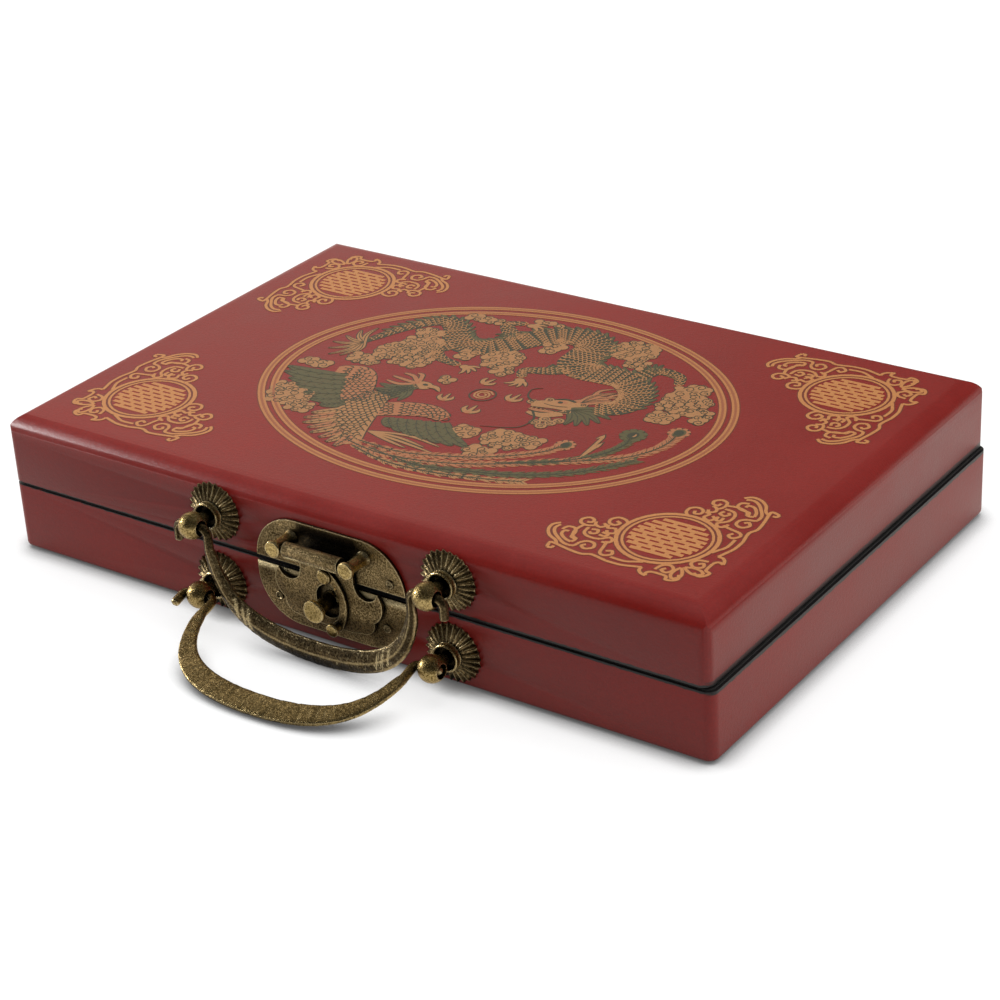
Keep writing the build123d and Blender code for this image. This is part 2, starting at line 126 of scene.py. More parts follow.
def soften(obj, width, segments=2, angle=32):
    """Rounds every edge that is sharper than the angle."""
    limits = {"limit_method": "ANGLE", "angle_limit": radians(angle)}
    apply_modifier(obj, "BEVEL", width=width * MM, segments=segments, **limits)


def shade(obj, angle=40):
    only(obj)
    bpy.ops.object.shade_smooth_by_angle(angle=radians(angle))


def settle(obj, matrix):
    """Puts the object's place into its mesh."""
    only(obj)
    obj.matrix_world = matrix
    bpy.ops.object.transform_apply(location=True, rotation=True, scale=True)


def on_front(x, z):
    """The place at x and z on the front face, looking out of it."""
    return Matrix.Translation(Vector((x, FRONT_Y, z)) * MM) @ FRONT_TURN


def face_outwards(obj):
    with editing(obj):
        bpy.ops.mesh.select_all(action="SELECT")
        bpy.ops.mesh.normals_make_consistent(inside=False)


def turned(name, profile, place, sides=48, hollow=False):
    """A piece as from a lathe: (radius, height) pairs from back to front, closed by end faces, or, where it
    is hollow, by joining the last ring to the first."""
    (radius, height), *rest = profile
    bpy.ops.object.select_all(action="DESELECT")
    bpy.ops.mesh.primitive_circle_add(
        vertices=sides,
        radius=radius * MM,
        fill_type="NOTHING" if hollow else "NGON",
        location=(0, 0, height * MM),
    )
    obj = named(bpy.context.object, name)
    settle(obj, obj.matrix_world.copy())
    with editing(obj, "EDGE"):
        bpy.ops.mesh.select_all(action="SELECT")
        for next_radius, next_height in rest:
            shift = (0, 0, (next_height - height) * MM)
            bpy.ops.mesh.extrude_region_move(TRANSFORM_OT_translate={"value": shift})
            grow = next_radius / radius
            bpy.ops.transform.resize(value=(grow, grow, 1), center_override=(0, 0, next_height * MM))
            radius, height = next_radius, next_height
        if hollow:
            bpy.ops.mesh.select_all(action="SELECT")
            bpy.ops.mesh.remove_doubles(threshold=WELD * MM)
    face_outwards(obj)
    settle(obj, place)
    return obj


def from_node(node, name, edge=0.0, segments=2, angle=32):
    """A piece that starts as a copy of a CAD node: triangles joined, flat faces made whole, edges rounded."""
    obj = bpy.data.objects.new(name, frame["nodes"][node].data.copy())
    bpy.context.scene.collection.objects.link(obj)
    obj.data.name = name
    obj.data.materials.clear()
    with editing(obj):
        bpy.ops.mesh.customdata_custom_splitnormals_clear()
        bpy.ops.mesh.select_all(action="SELECT")
        bpy.ops.mesh.remove_doubles(threshold=WELD * MM)
        bpy.ops.mesh.dissolve_limited(angle_limit=radians(0.5))
    if edge:
        soften(obj, edge, segments, angle)
    shade(obj)
    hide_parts(node)
    return obj


def finish_piece(obj, material, body, slot=None, replaces=()):
    """Gives the piece its one material and its body, and hides the nodes that it stands for. The slot is not used.
    """
    obj.data.materials.clear()
    obj.data.materials.append(material)
    if replaces:
        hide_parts(*replaces)
    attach(obj, body)
    return obj


# --- materials ---
class Wiring:
    """The nodes of one tree, added and linked one at a time."""

    def __init__(self, tree):
        self.tree = tree

    def add(self, kind, **settings):
        node = self.tree.nodes.new(kind)
        for key, value in settings.items():
            setattr(node, key, value)
        return node

    def feed(self, node, socket, value):
        """Links a socket to an output, or sets it where the value is a plain number or colour."""
        if isinstance(value, bpy.types.NodeSocket):
            self.tree.links.new(value, node.inputs[socket])
        else:
            node.inputs[socket].default_value = value

    def ramp(self, value, low, high, start=0.0, end=1.0, kind="LINEAR"):
        """Maps low..high to start..end, clamped."""
        node = self.add("ShaderNodeMapRange", interpolation_type=kind)
        self.feed(node, "Value", value)
        for socket, number in (("From Min", low), ("From Max", high), ("To Min", start), ("To Max", end)):
            node.inputs[socket].default_value = number
        return node.outputs["Result"]

    def math(self, operation, a, b=0.0):
        node = self.add("ShaderNodeMath", operation=operation)
        self.feed(node, 0, a)
        self.feed(node, 1, b)
        return node.outputs["Value"]

    def mix(self, share, a, b):
        """A colour that turns from a to b with the share."""
        node = self.add("ShaderNodeMix", data_type="RGBA")
        self.feed(node, "Factor", share)
        for socket, value in ((6, a), (7, b)):
            if isinstance(value, tuple):
                value = (*value, 1.0)
            self.feed(node, socket, value)
        return node.outputs[2]

    def choose(self, share, a, b):
        """A number that turns from a to b with the share."""
        node = self.add("ShaderNodeMix", data_type="FLOAT")
        self.feed(node, "Factor", share)
        self.feed(node, 2, a)
        self.feed(node, 3, b)
        return node.outputs[0]

    def axes(self, vector):
        node = self.add("ShaderNodeSeparateXYZ")
        self.feed(node, "Vector", vector)
        return node.outputs

    def indirect(self, rays):
        """1 for rays that a mirror or a glass sends out."""
        return self.math("MAXIMUM", rays.outputs["Is Glossy Ray"], rays.outputs["Is Transmission Ray"])


class Finish(Wiring):
    """A node material whose patterns read Object coordinates in millimetres."""

    def __init__(self, name, **shader):
        self.material = bpy.data.materials.new(name)
        self.material.use_nodes = True
        super().__init__(self.material.node_tree)
        self.shader = self.tree.nodes["Principled BSDF"]
        for socket, value in shader.items():
            self.shader.inputs[socket.replace("_", " ")].default_value = value
        place = self.add("ShaderNodeTexCoord")
        scale = self.add("ShaderNodeMapping")
        scale.inputs["Scale"].default_value = (1 / MM, 1 / MM, 1 / MM)
        self.tree.links.new(place.outputs["Object"], scale.inputs["Vector"])
        self.place = scale.outputs["Vector"]

    def stretched(self, x=1.0, y=1.0, z=1.0):
        node = self.add("ShaderNodeMapping")
        node.inputs["Scale"].default_value = (x, y, z)
        self.feed(node, "Vector", self.place)
        return node.outputs["Vector"]

    def noise(self, scale, detail=3.0, roughness=0.5, vector=None):
        node = self.add("ShaderNodeTexNoise")
        self.feed(node, "Vector", vector or self.place)
        node.inputs["Scale"].default_value = scale
        node.inputs["Detail"].default_value = detail
        node.inputs["Roughness"].default_value = roughness
        return node.outputs["Fac"]

    def cells(self, scale):
        node = self.add("ShaderNodeTexVoronoi", feature="F1")
        self.feed(node, "Vector", self.place)
        node.inputs["Scale"].default_value = scale
        return node.outputs["Distance"]

    def attribute(self, name):
        return self.add("ShaderNodeAttribute", attribute_name=name).outputs["Fac"]

    def axis(self, letter):
        return self.axes(self.place)[letter]

    def colour(self, value):
        self.feed(self.shader, "Base Color", value)

    def roughness(self, value):
        self.feed(self.shader, "Roughness", value)

    def bump(self, height, distance, strength=1.0):
        """Bump from a height of 0 to 1 that stands for this many millimetres."""
        node = self.add("ShaderNodeBump")
        node.inputs["Strength"].default_value = strength
        node.inputs["Distance"].default_value = distance * MM
        self.feed(node, "Height", height)
        self.feed(self.shader, "Normal", node.outputs["Normal"])


HALF_LENGTH = 130.0
STAIN_X = (HALF_LENGTH - 2.8, HALF_LENGTH - 0.4)  # the right end's stain grows in between


def leather(name, end_low, end_high):
    """Thin lacquered red leather: fine grain, faint clouding, and black stain where cut edges are
    closed. The stain reaches from end_low to end_high on the right end of the box."""
    finish = Finish(name, Specular_IOR_Level=0.5)
    cloud = finish.ramp(finish.noise(0.03, 4, 0.6), 0.3, 0.7)
    speck = finish.ramp(finish.noise(1.6, 3, 0.6), 0.35, 0.65)
    weave = finish.ramp(finish.noise(0.55, 4, 0.7, finish.stretched(1.0, 2.2, 1.6)), 0.35, 0.65)
    body = finish.mix(cloud, (0.215, 0.0080, 0.0050), (0.275, 0.0110, 0.0065))
    body = finish.mix(finish.math("MULTIPLY", weave, 0.30), body, (0.150, 0.010, 0.008))
    body = finish.mix(finish.math("MULTIPLY", speck, 0.30), body, (0.120, 0.008, 0.007))
    finish.colour(finish.mix(edge_stain(finish, end_low, end_high), body, (0.010, 0.009, 0.009)))
    grain = finish.cells(1.5)
    pores = finish.noise(3.5, 2)
    finish.roughness(finish.ramp(finish.math("ADD", pores, cloud), 0.5, 1.5, 0.30, 0.40))
    relief = finish.math("ADD", finish.math("MULTIPLY", grain, 0.6), finish.math("ADD", pores, weave))
    finish.bump(relief, 0.03, 0.8)
    return finish.material


def edge_stain(finish, end_low, end_high):
    """Where black stain lies: round the foot, along the parting line and up the right end."""
    wander = finish.math("MULTIPLY", finish.noise(0.35, 2), 0.9)
    height = finish.math("ADD", finish.axis("Z"), wander)
    foot = finish.ramp(height, 1.75, 1.45)
    # along the parting line the stain widens from the left end to the right
    from_gap = finish.math("ABSOLUTE", finish.math("SUBTRACT", height, PARTING_Z + 0.45))
    reach = finish.ramp(finish.axis("X"), -HALF_LENGTH, HALF_LENGTH, 0.70, 1.25)
    line = finish.ramp(finish.math("SUBTRACT", from_gap, reach), 0.12, -0.12)
    above = finish.ramp(height, end_low, end_low + 0.35)
    below = finish.ramp(height, end_high, end_high - 0.35)
    at_end = finish.ramp(finish.math("ADD", finish.axis("X"), wander), *STAIN_X)
    end = finish.math("MULTIPLY", finish.math("MULTIPLY", above, below), at_end)
    return finish.math("MAXIMUM", foot, finish.math("MAXIMUM", line, end))


# painted shade: the dark strips on the upper handle and the patch behind the hasp barrel
PAINTED_SHADE_BRASS = (0.010, 0.006, 0.003)
# rubbed wear and painted highlight on the bright handle strips
BARE_AND_HIGHLIT_BRASS = (0.95, 0.76, 0.40)
# bright edge colour: rubbed wear and a painted highlight
EDGE_BRASS = (0.95, 0.78, 0.44)
# near-black for patina in hollows and for painted shade next to other parts
PATINA_AND_SHADE_BRASS = (0.004, 0.0025, 0.0012)


def aged_brass(name, rubbed=0.0, painted_shade=None, bands=()):
    """Brass under a dark patina, finely speckled: bright along edges, partly rubbed wear and partly painted
    highlight, and black near other surfaces, partly patina in hollows and partly painted shade. The share of the
    patina that is worn away is rubbed, from 0 to 1."""
    finish = Finish(name, Metallic=1.0)
    edge = worn_and_highlit_edges(finish)
    # painted shade: within 7 mm of another surface the colour runs to near black, patina in real hollows and
    # painted shade where nearby parts would shadow the brass
    shade = finish.add("ShaderNodeAmbientOcclusion", samples=8)
    shade.inputs["Distance"].default_value = 7.0 * MM
    hollow = finish.ramp(shade.outputs["AO"], 0.88, 0.42)
    cloud = finish.ramp(finish.noise(0.13, 3, 0.6), 0.32, 0.68)
    speckle = finish.ramp(finish.noise(1.8, 3, 0.8), 0.465 - 0.05 * rubbed, 0.56 - 0.05 * rubbed)
    clouded = finish.math("MULTIPLY", cloud, 0.35)
    share = finish.math("ADD", clouded, finish.math("MULTIPLY", speckle, 0.65))
    dark = (0.014 + 0.21 * rubbed, 0.008 + 0.14 * rubbed, 0.003 + 0.035 * rubbed)
    light = (0.48 + 0.42 * rubbed, 0.345 + 0.33 * rubbed, 0.170 + 0.10 * rubbed)
    flat = banded(finish, finish.mix(share, dark, light), share, bands)
    # a patch of painted shade, where one is given
    if painted_shade:
        flat = painted_barrel_shade(finish, flat, *painted_shade)
    # edges are painted bright whatever the lamps: partly rubbed wear, partly painted highlight
    edge_wear_and_highlight = finish.math("MULTIPLY", edge, finish.ramp(speckle, 0.0, 1.0, 0.7, 1.0))
    worn = finish.mix(edge_wear_and_highlight, flat, EDGE_BRASS)
    finish.colour(finish.mix(hollow, worn, PATINA_AND_SHADE_BRASS))
    finish.roughness(finish.ramp(share, 0.0, 1.0, 0.38 - 0.12 * rubbed, 0.26 - 0.08 * rubbed))
    finish.bump(share, 0.05 - 0.025 * rubbed, 0.9)
    return finish.material


def worn_and_highlit_edges(finish):
    """1 where the surface turns an edge, 0 on the flat; it places rubbed wear and a painted highlight."""
    geometry = finish.add("ShaderNodeNewGeometry")
    rounded = finish.add("ShaderNodeBevel", samples=6)
    rounded.inputs["Radius"].default_value = 0.45 * MM
    facing = finish.add("ShaderNodeVectorMath", operation="DOT_PRODUCT")
    finish.feed(facing, 0, rounded.outputs["Normal"])
    finish.feed(facing, 1, geometry.outputs["True Normal"])
    return finish.ramp(facing.outputs["Value"], 0.992, 0.95)


def banded(finish, flat, share, bands):
    """Strips along a handle, (from, to, strength), placed across its width from -1 to 1. Where the strength
    is positive they are brightened, partly rubbed wear and partly painted highlight; where it is negative they get
    painted shade."""
    across = finish.attribute("across") if bands else None
    for start, end, strength in bands:
        rise = finish.ramp(across, start - 0.08, start + 0.08)
        fall = finish.ramp(across, end + 0.08, end - 0.08)
        inside = finish.math("MULTIPLY", finish.math("MULTIPLY", rise, fall), abs(strength))
        broken = finish.math("MULTIPLY", inside, finish.ramp(share, 0.0, 1.0, 0.75, 1.0))
        flat = finish.mix(broken, flat, BARE_AND_HIGHLIT_BRASS if strength > 0 else PAINTED_SHADE_BRASS)
    return flat


def painted_barrel_shade(finish, flat, half_length, low, high):
    """A patch of painted shade, from low to high and half_length each way."""
    sideways = finish.ramp(finish.math("ABSOLUTE", finish.axis("X")), half_length, half_length - 2.5)
    upwards = finish.ramp(finish.axis("Z"), high, high - 3.0)
    downwards = finish.ramp(finish.axis("Z"), low, low + 1.5)
    patch = finish.math("MULTIPLY", sideways, finish.math("MULTIPLY", upwards, downwards))
    return finish.mix(finish.math("MULTIPLY", patch, 0.93), flat, PAINTED_SHADE_BRASS)


def black_lacquer():
    """Black edge strip, satin, with faint brush lines along its length."""
    finish = Finish("black_lacquer", Specular_IOR_Level=0.4)
    lines = finish.noise(0.8, 3, 0.6, finish.stretched(1.0, 1.0, 6.0))
    finish.colour(finish.mix(lines, (0.006, 0.0055, 0.0055), (0.022, 0.020, 0.019)))
    finish.roughness(finish.ramp(lines, 0.3, 0.7, 0.45, 0.65))
    finish.bump(lines, 0.05, 0.6)
    return finish.material


def felt(name, dark, light):
    """Short-pile felt: matted fibres, a soft sheen and a little pressed unevenness."""
    finish = Finish(name, Specular_IOR_Level=0.2, Sheen_Weight=0.4, Sheen_Roughness=0.5)
    fibre = finish.noise(2.2, 5, 0.7, finish.stretched(1.0, 2.6, 1.8))
    press = finish.noise(0.06, 3)
    share = finish.ramp(finish.math("ADD", fibre, finish.math("MULTIPLY", press, 0.5)), 0.5, 1.0)
    finish.colour(finish.mix(share, dark, light))
    finish.roughness(finish.ramp(fibre, 0.0, 1.0, 0.85, 1.0))
    finish.bump(fibre, 0.25, 0.8)
    return finish.material


def bare_wood():
    """Unfinished board: long grain with fine pores."""
    finish = Finish("bare_board", Specular_IOR_Level=0.3)
    wave = finish.add("ShaderNodeTexWave", wave_type="BANDS", bands_direction="Y")
    finish.feed(wave, "Vector", finish.stretched(0.08, 1.0, 1.0))
    wave.inputs["Scale"].default_value = 0.12
    wave.inputs["Distortion"].default_value = 6.0
    wave.inputs["Detail"].default_value = 3.0
    pores = finish.noise(1.8, 3, 0.6, finish.stretched(0.06, 1.0, 1.0))
    grain = finish.math("ADD", wave.outputs["Fac"], finish.math("MULTIPLY", pores, 0.6))
    finish.colour(finish.mix(finish.ramp(grain, 0.2, 1.3), (0.46, 0.30, 0.16), (0.30, 0.17, 0.08)))
    finish.roughness(finish.ramp(pores, 0.3, 0.7, 0.6, 0.8))
    finish.bump(pores, 0.08, 0.6)
    return finish.material


LID_LEATHER = leather("lid_leather_finish", PARTING_Z, PARTING_Z + 2.8)
BASE_LEATHER = leather("base_leather_finish", PARTING_Z - 1.4, PARTING_Z + 2.0)
PLATE_BRASS = aged_brass("plate_brass", rubbed=0.13)
# painted shade on the lid plate between the studs, where the hasp barrel's shadow and dark reflection fall
BARREL_SHADE_PATCH = (12.5, HASP_PIVOT.z + 0.5, HASP_PIVOT.z + 7.5)
LID_PLATE_BRASS = aged_brass("lid_plate_brass", rubbed=0.13, painted_shade=BARREL_SHADE_PATCH)
DARK_BRASS = aged_brass("dark_brass", rubbed=0.0)
FLUTED_BRASS = aged_brass("fluted_brass", rubbed=0.12)
# upper handle: dark strips are painted shade across its upper face, the groove and below the ridge; bright strips
# are painted highlight on the ridge and the lower edge, with some rubbed wear
UPPER_BANDS = (
    (-0.95, -0.30, -0.70),
    (-0.24, -0.12, -0.95),
    (-0.04, 0.10, 0.40),
    (0.14, 0.72, -0.85),
    (0.82, 1.1, 0.5),
)
# lower handle: bright edges, rubbed wear and painted highlight
LOWER_BANDS = ((-1.1, -0.86, 0.75), (0.86, 1.1, 0.75))
# the upper handle is less rubbed and darker than the lower: partly wear, partly painted shade on the hanging
# handle and painted light on the one lying forward
UPPER_BRASS = aged_brass("upper_handle_brass", rubbed=0.06, bands=UPPER_BANDS)
LOWER_BRASS = aged_brass("lower_handle_brass", rubbed=0.46, bands=LOWER_BANDS)
RUBBED_BRASS = aged_brass("rubbed_brass", rubbed=0.62)
GOLD_BRASS = aged_brass("gold_brass", rubbed=0.80)
LACQUER = black_lacquer()
LINING = felt("wine_felt", (0.07, 0.006, 0.008), (0.20, 0.020, 0.026))
SOLE = felt("black_felt", (0.008, 0.008, 0.008), (0.035, 0.034, 0.033))
BOARD = bare_wood()

SLOT_FINISH = {
    "red_leather": LID_LEATHER,
    "board_wood": BOARD,
    "black_edge": LACQUER,
    "lining_felt": LINING,
    "foot_felt": SOLE,
    "antique_brass": PLATE_BRASS,
}


def dress_nodes():
    """Every CAD node that stays in view gets the finish of its material slot."""
    for part in frame["record"]["subparts"]:
        node = frame["nodes"][part["node"]]
        node.data.materials.clear()
        node.data.materials.append(SLOT_FINISH[part["material_slot"]])
    frame["nodes"]["base_cover"].data.materials[0] = BASE_LEATHER


dress_nodes()


# --- studio ---
PLAIN = (1.0, 1.0, 1.0)
WARM = (1.0, 0.92, 0.82)  # what the gloss mirrors of the room's panels
FLOOR_DROP = 0.05
CONTACT_REACH = 8.0  # how near the object the floor darkens


def studio_world():
    """A soft dome for the light. Reflections see a bright panel behind on the left instead."""
    world = bpy.data.worlds.new("studio_world")
    bpy.context.scene.world = world
    world.use_nodes = True
    wiring = Wiring(world.node_tree)
    background = wiring.tree.nodes["Background"]
    place = wiring.add("ShaderNodeTexCoord")
    side, depth, height = wiring.axes(place.outputs["Generated"])

    def soft(value, low, high, start, end):
        return wiring.ramp(value, low, high, start, end, "SMOOTHSTEP")

    above, behind = soft(height, 0.15, 1.0, 0.05, 2.1), soft(depth, -1.0, 0.2, 0.12, 1.0)
    dome = wiring.math("ADD", wiring.math("MULTIPLY", above, behind), soft(side, 0.2, 1.0, 0.0, 0.75))
    on_left, far_back = soft(side, -0.35, -0.58, 0.07, 0.66), soft(depth, -0.05, 0.45, 0.12, 1.0)
    panel = wiring.math("MULTIPLY", on_left, far_back)
    rays = wiring.add("ShaderNodeLightPath")
    mirrored = wiring.indirect(rays)
    level = wiring.choose(rays.outputs["Is Camera Ray"], wiring.choose(mirrored, dome, panel), 1.0)
    wiring.feed(background, "Strength", level)
    wiring.feed(background, "Color", wiring.mix(mirrored, PLAIN, WARM))


def studio_floor():
    """A wide pale floor, white to the camera and in reflections outside the soft shadow."""
    bpy.ops.object.select_all(action="DESELECT")
    bpy.ops.mesh.primitive_plane_add(size=6.0, location=(0, 0, -FLOOR_DROP * MM))
    floor = named(bpy.context.object, "studio_floor")
    material = bpy.data.materials.new("studio_floor_paper")
    material.use_nodes = True
    wiring = Wiring(material.node_tree)
    paper = wiring.tree.nodes["Principled BSDF"]
    paper.inputs["Base Color"].default_value = (0.36, 0.36, 0.36, 1.0)
    paper.inputs["Roughness"].default_value = 0.9
    paper.inputs["Specular IOR Level"].default_value = 0.0
    place = wiring.add("ShaderNodeTexCoord")
    depth = wiring.axes(place.outputs["Object"])["Y"]
    rays = wiring.add("ShaderNodeLightPath")
    indirect = wiring.indirect(rays)
    # painted shade: in reflections the floor's glow falls off towards the front of the box, where its shadow would
    # lie
    mirrored = wiring.math("MULTIPLY", indirect, wiring.ramp(depth, -0.13, 0.0, 0.30, 0.95))
    seen = wiring.math("MAXIMUM", rays.outputs["Is Camera Ray"], mirrored)
    # painted contact shadow: the glow fades where ambient occlusion finds the box near
    near = wiring.add("ShaderNodeAmbientOcclusion", samples=8)
    near.inputs["Distance"].default_value = CONTACT_REACH * MM
    contact = wiring.ramp(near.outputs["AO"], 0.45, 0.92, 0.10, 1.0)
    glow = wiring.add("ShaderNodeEmission")
    wiring.feed(glow, "Color", wiring.mix(indirect, (0.68, 0.68, 0.68), (0.70, 0.64, 0.56)))
    wiring.feed(glow, "Strength", wiring.math("MULTIPLY", seen, contact))
    both = wiring.add("ShaderNodeAddShader")
    wiring.feed(both, 0, paper.outputs[0])
    wiring.feed(both, 1, glow.outputs[0])
    wiring.feed(wiring.tree.nodes["Material Output"], "Surface", both.outputs[0])
    floor.data.materials.append(material)


def softbox(name, place, size, watts):
    """A square lamp that looks at the middle of the floor."""
    light = bpy.data.lights.new(name, "AREA")
    light.size = size
    light.energy = watts
    lamp = bpy.data.objects.new(name, light)
    bpy.context.scene.collection.objects.link(lamp)
    lamp.location = place
    lamp.rotation_euler = (-Vector(place)).to_track_quat("-Z", "Y").to_euler()


CAMERA_PLACE = (435.634, -595.044, 393.09)
CAMERA_AZIMUTH, CAMERA_ELEVATION, CAMERA_ROLL = 36.183, 27.402, -3.3525  # degrees
CAMERA_LENS, CAMERA_SENSOR = 92.94, 36.0


def camera():
    """Looks down on the front and the right end, slightly rolled."""
    azimuth, elevation, roll = (radians(angle) for angle in (CAMERA_AZIMUTH, CAMERA_ELEVATION, CAMERA_ROLL))
    back = Vector((sin(azimuth) * cos(elevation), -cos(azimuth) * cos(elevation), sin(elevation)))
    level = Vector((0, 0, 1)).cross(back).normalized()
    upright = back.cross(level)
    right = level * cos(roll) + upright * sin(roll)
    up = upright * cos(roll) - level * sin(roll)
    data = bpy.data.cameras.new("camera")
    data.lens, data.sensor_width = CAMERA_LENS, CAMERA_SENSOR
    data.clip_start, data.clip_end = 0.01, 20.0
    obj = bpy.data.objects.new("camera", data)
    bpy.context.scene.collection.objects.link(obj)
    turn = Matrix((right, up, back)).transposed().to_4x4()
    obj.matrix_world = Matrix.Translation(Vector(CAMERA_PLACE) * MM) @ turn
    bpy.context.scene.camera = obj


studio_world()
studio_floor()
softbox("key_light", (-1.2, -0.38, 0.35), 0.35, 7.0)
camera()
bpy.context.scene.view_settings.view_transform = "Standard"

# --- the box: wraps and edge strips ---
CUT_EDGE = 0.18  # rounding of a cut leather edge


def box_shell():
    """The leather wraps and the black strips that close their edges at the parting line."""
    for node, finish, body, slot, edge in (
        ("lid_cover", LID_LEATHER, "lid", "red_leather", CUT_EDGE),
        ("base_cover", BASE_LEATHER, "base", "red_leather", CUT_EDGE),
        ("lid_rim", LACQUER, "lid", "black_edge", 0.15),
        ("base_rim", LACQUER, "base", "black_edge", 0.15),
    ):
        finish_piece(from_node(node, f"{node}_finished", edge), finish, body, slot)


# --- eyes, rosettes and collars ---
# Turned profiles are (radius, height over the front face) pairs.
BORE = 1.6
ROSETTE_RADIUS = 9.75
ROSETTE_RISE = 2.6
DOME_RADIUS = 4.7
FLUTE_START = 4.6  # the folds grow from here to the rim
FLUTES = 26
ROSETTE_SIDES = 12 * FLUTES
THINNEST = 0.12  # what the folds leave of the sheet
ROSETTE_PROFILE = (
    (BORE, 0.0),
    (ROSETTE_RADIUS - 0.9, 0.0),
    (ROSETTE_RADIUS - 0.1, 0.15),
    (ROSETTE_RADIUS, 0.55),
    (ROSETTE_RADIUS - 0.15, 1.0),
    *((9.2, 1.32), (8.6, 1.55), (8.0, 1.72), (7.3, 1.92), (6.6, 2.12), (5.9, 2.32), (5.2, 2.5)),
    (DOME_RADIUS, ROSETTE_RISE),
    (BORE, ROSETTE_RISE),
    (BORE, 0.0),
)
COLLAR_FOOT, COLLAR_LIP = 2.62, 5.0
COLLAR_PROFILE = (
    (BORE, COLLAR_FOOT), (4.25, COLLAR_FOOT), (4.4, 2.8), (4.22, 3.1), (4.18, 4.2), (4.4, 4.6),
    (4.4, 4.82), (4.2, COLLAR_LIP), (3.9, COLLAR_LIP), (3.72, 4.85), (3.7, 4.5), (3.6, 3.3),
    (1.9, 3.2), (BORE, 3.2), (BORE, COLLAR_FOOT),
)


def pleat(point):
    """Folds the disc: round ridges with sharp grooves between them, pinched to points at the rim."""
    radius, angle = hypot(point.x, point.y), atan2(point.y, point.x)
    if radius < BORE + 0.1 or point.z < 0.01:
        return point
    spread = min(max((radius - FLUTE_START) / (ROSETTE_RADIUS - FLUTE_START), 0.0), 1.0)
    ridge = 1 - abs(sin(angle * FLUTES / 2)) ** 0.85
    tooth = round(angle * FLUTES / (2 * pi)) % FLUTES
    uneven = noise.noise(Vector((tooth * 1.7, 3.1, 0.4)))
    groove = (0.25 + 0.85 * spread) * (1 - ridge)
    tuck = spread ** 3 * (0.8 * (1 - ridge) + 0.22 * uneven)
    lift = 0.16 * uneven * spread
    shrink = (radius - tuck) / radius
    return Vector((point.x * shrink, point.y * shrink, max(point.z - groove + lift, THINNEST)))


def rosette(name, place):
    """A thin domed disc under the eye, fluted like a pie dish."""
    obj = turned(name, ROSETTE_PROFILE, UNMOVED, ROSETTE_SIDES, hollow=True)
    reshape(obj, pleat)
    settle(obj, place)
    shade(obj, 50)
    return obj


def collar(name, place):
    """A short ferrule with a flared foot and a rolled lip."""
    obj = turned(name, COLLAR_PROFILE, place, 64, hollow=True)
    shade(obj, 35)
    return obj


def eyes():
    """The four eyes that carry the handles, each on its rosette and collar."""
    for tray, height in (("lid", UPPER_PIVOT.z), ("base", LOWER_PIVOT.z)):
        for side, x in (("left", -EYE_X), ("right", EYE_X)):
            place = on_front(x, height)
            piece = rosette(f"{tray}_rosette_{side}_fluted", place)
            finish_piece(piece, FLUTED_BRASS, tray, "antique_brass", [f"{tray}_rosette_{side}"])
            piece = collar(f"{tray}_collar_{side}_rolled", place)
            finish_piece(piece, RUBBED_BRASS, tray, "antique_brass", [f"{tray}_collar_{side}"])
            piece = from_node(f"{tray}_eye_{side}", f"{tray}_eye_{side}_cast", 0.35, 3)
            finish_piece(piece, RUBBED_BRASS, tray, "antique_brass")


# --- the lock ---
STUD_PROFILE = (
    (1.2, -4.0), (1.2, 1.0), (2.5, 1.0), (2.5, 1.35), (2.1, 1.8), (2.02, 3.4), (1.95, 5.4),
    (1.9, 7.4), (2.0, 8.4), (2.3, 8.95), (2.65, 9.2), (2.75, 9.45), (2.72, 10.05), (2.5, 10.35),
    (2.1, 10.38), (1.4, 10.28), (0.7, 10.24), (0.25, 10.3),
)
STAPLE_PROFILE = (
    (1.5, -5.0), (1.5, 1.0), (3.0, 1.0), (3.0, 1.3), (2.45, 1.75), (2.3, 4.0), (2.25, 6.5),
    (2.4, 8.3), (2.7, 8.7), (3.45, 8.85), (3.75, 9.15), (3.75, 9.85), (3.55, 10.25), (3.1, 10.38),
    (2.3, 10.3), (1.5, 10.22), (0.8, 10.26), (0.3, 10.2),
)
KNOB_PROFILE = (
    (1.1, 2.7), (1.1, 3.7), (1.35, 3.75), (1.3, 4.2), (1.1, 5.0), (1.15, 5.6), (1.7, 5.85),
    (2.1, 6.1), (2.2, 6.4), (2.15, 6.85), (1.85, 7.12), (1.2, 7.2), (0.4, 7.16),
)
RIVET_PROFILE = (
    (1.2, 1.6), (1.2, 3.8), (2.45, 3.8), (2.5, 4.05), (2.35, 4.4), (1.9, 4.65), (1.2, 4.7),
    (0.5, 4.62),
)
NAIL_PROFILE = (  # a small tubular nail: a sunk ring round a raised dot
    (0.7, -5.5), (0.7, 1.0), (1.38, 1.0), (1.4, 1.25), (1.25, 1.45), (1.05, 1.48), (0.85, 1.3),
    (0.6, 1.12), (0.4, 1.2), (0.2, 1.32),
)
NAIL_PLACES = {"lid": (22.5, 4.4), "base": (20.3, -11.0)}  # from the middle, over the parting line
BARREL_RADIUS = 2.3  # of the rolled top of the hasp
LIP_RADIUS, LIP_LENGTH, LIP_ANGLE = 0.42, 20.0, radians(-50)
LIP_SINK = 0.02


def beaten(name, profile, sides, dent_depth, dent_size, x, z):
    """A turned piece with small dents all over, set on the front at x and z."""

    def dent(point):
        push = dent_depth * noise.noise(point / dent_size)
        return point + Vector((push * 0.6, push * 0.4, push))

    obj = turned(name, profile, UNMOVED, sides)
    reshape(obj, dent)
    settle(obj, on_front(x, z))
    shade(obj, 50)
    return obj


def nail(name, x, z):
    obj = turned(name, NAIL_PROFILE, on_front(x, z), 28)
    shade(obj, 50)
    return obj


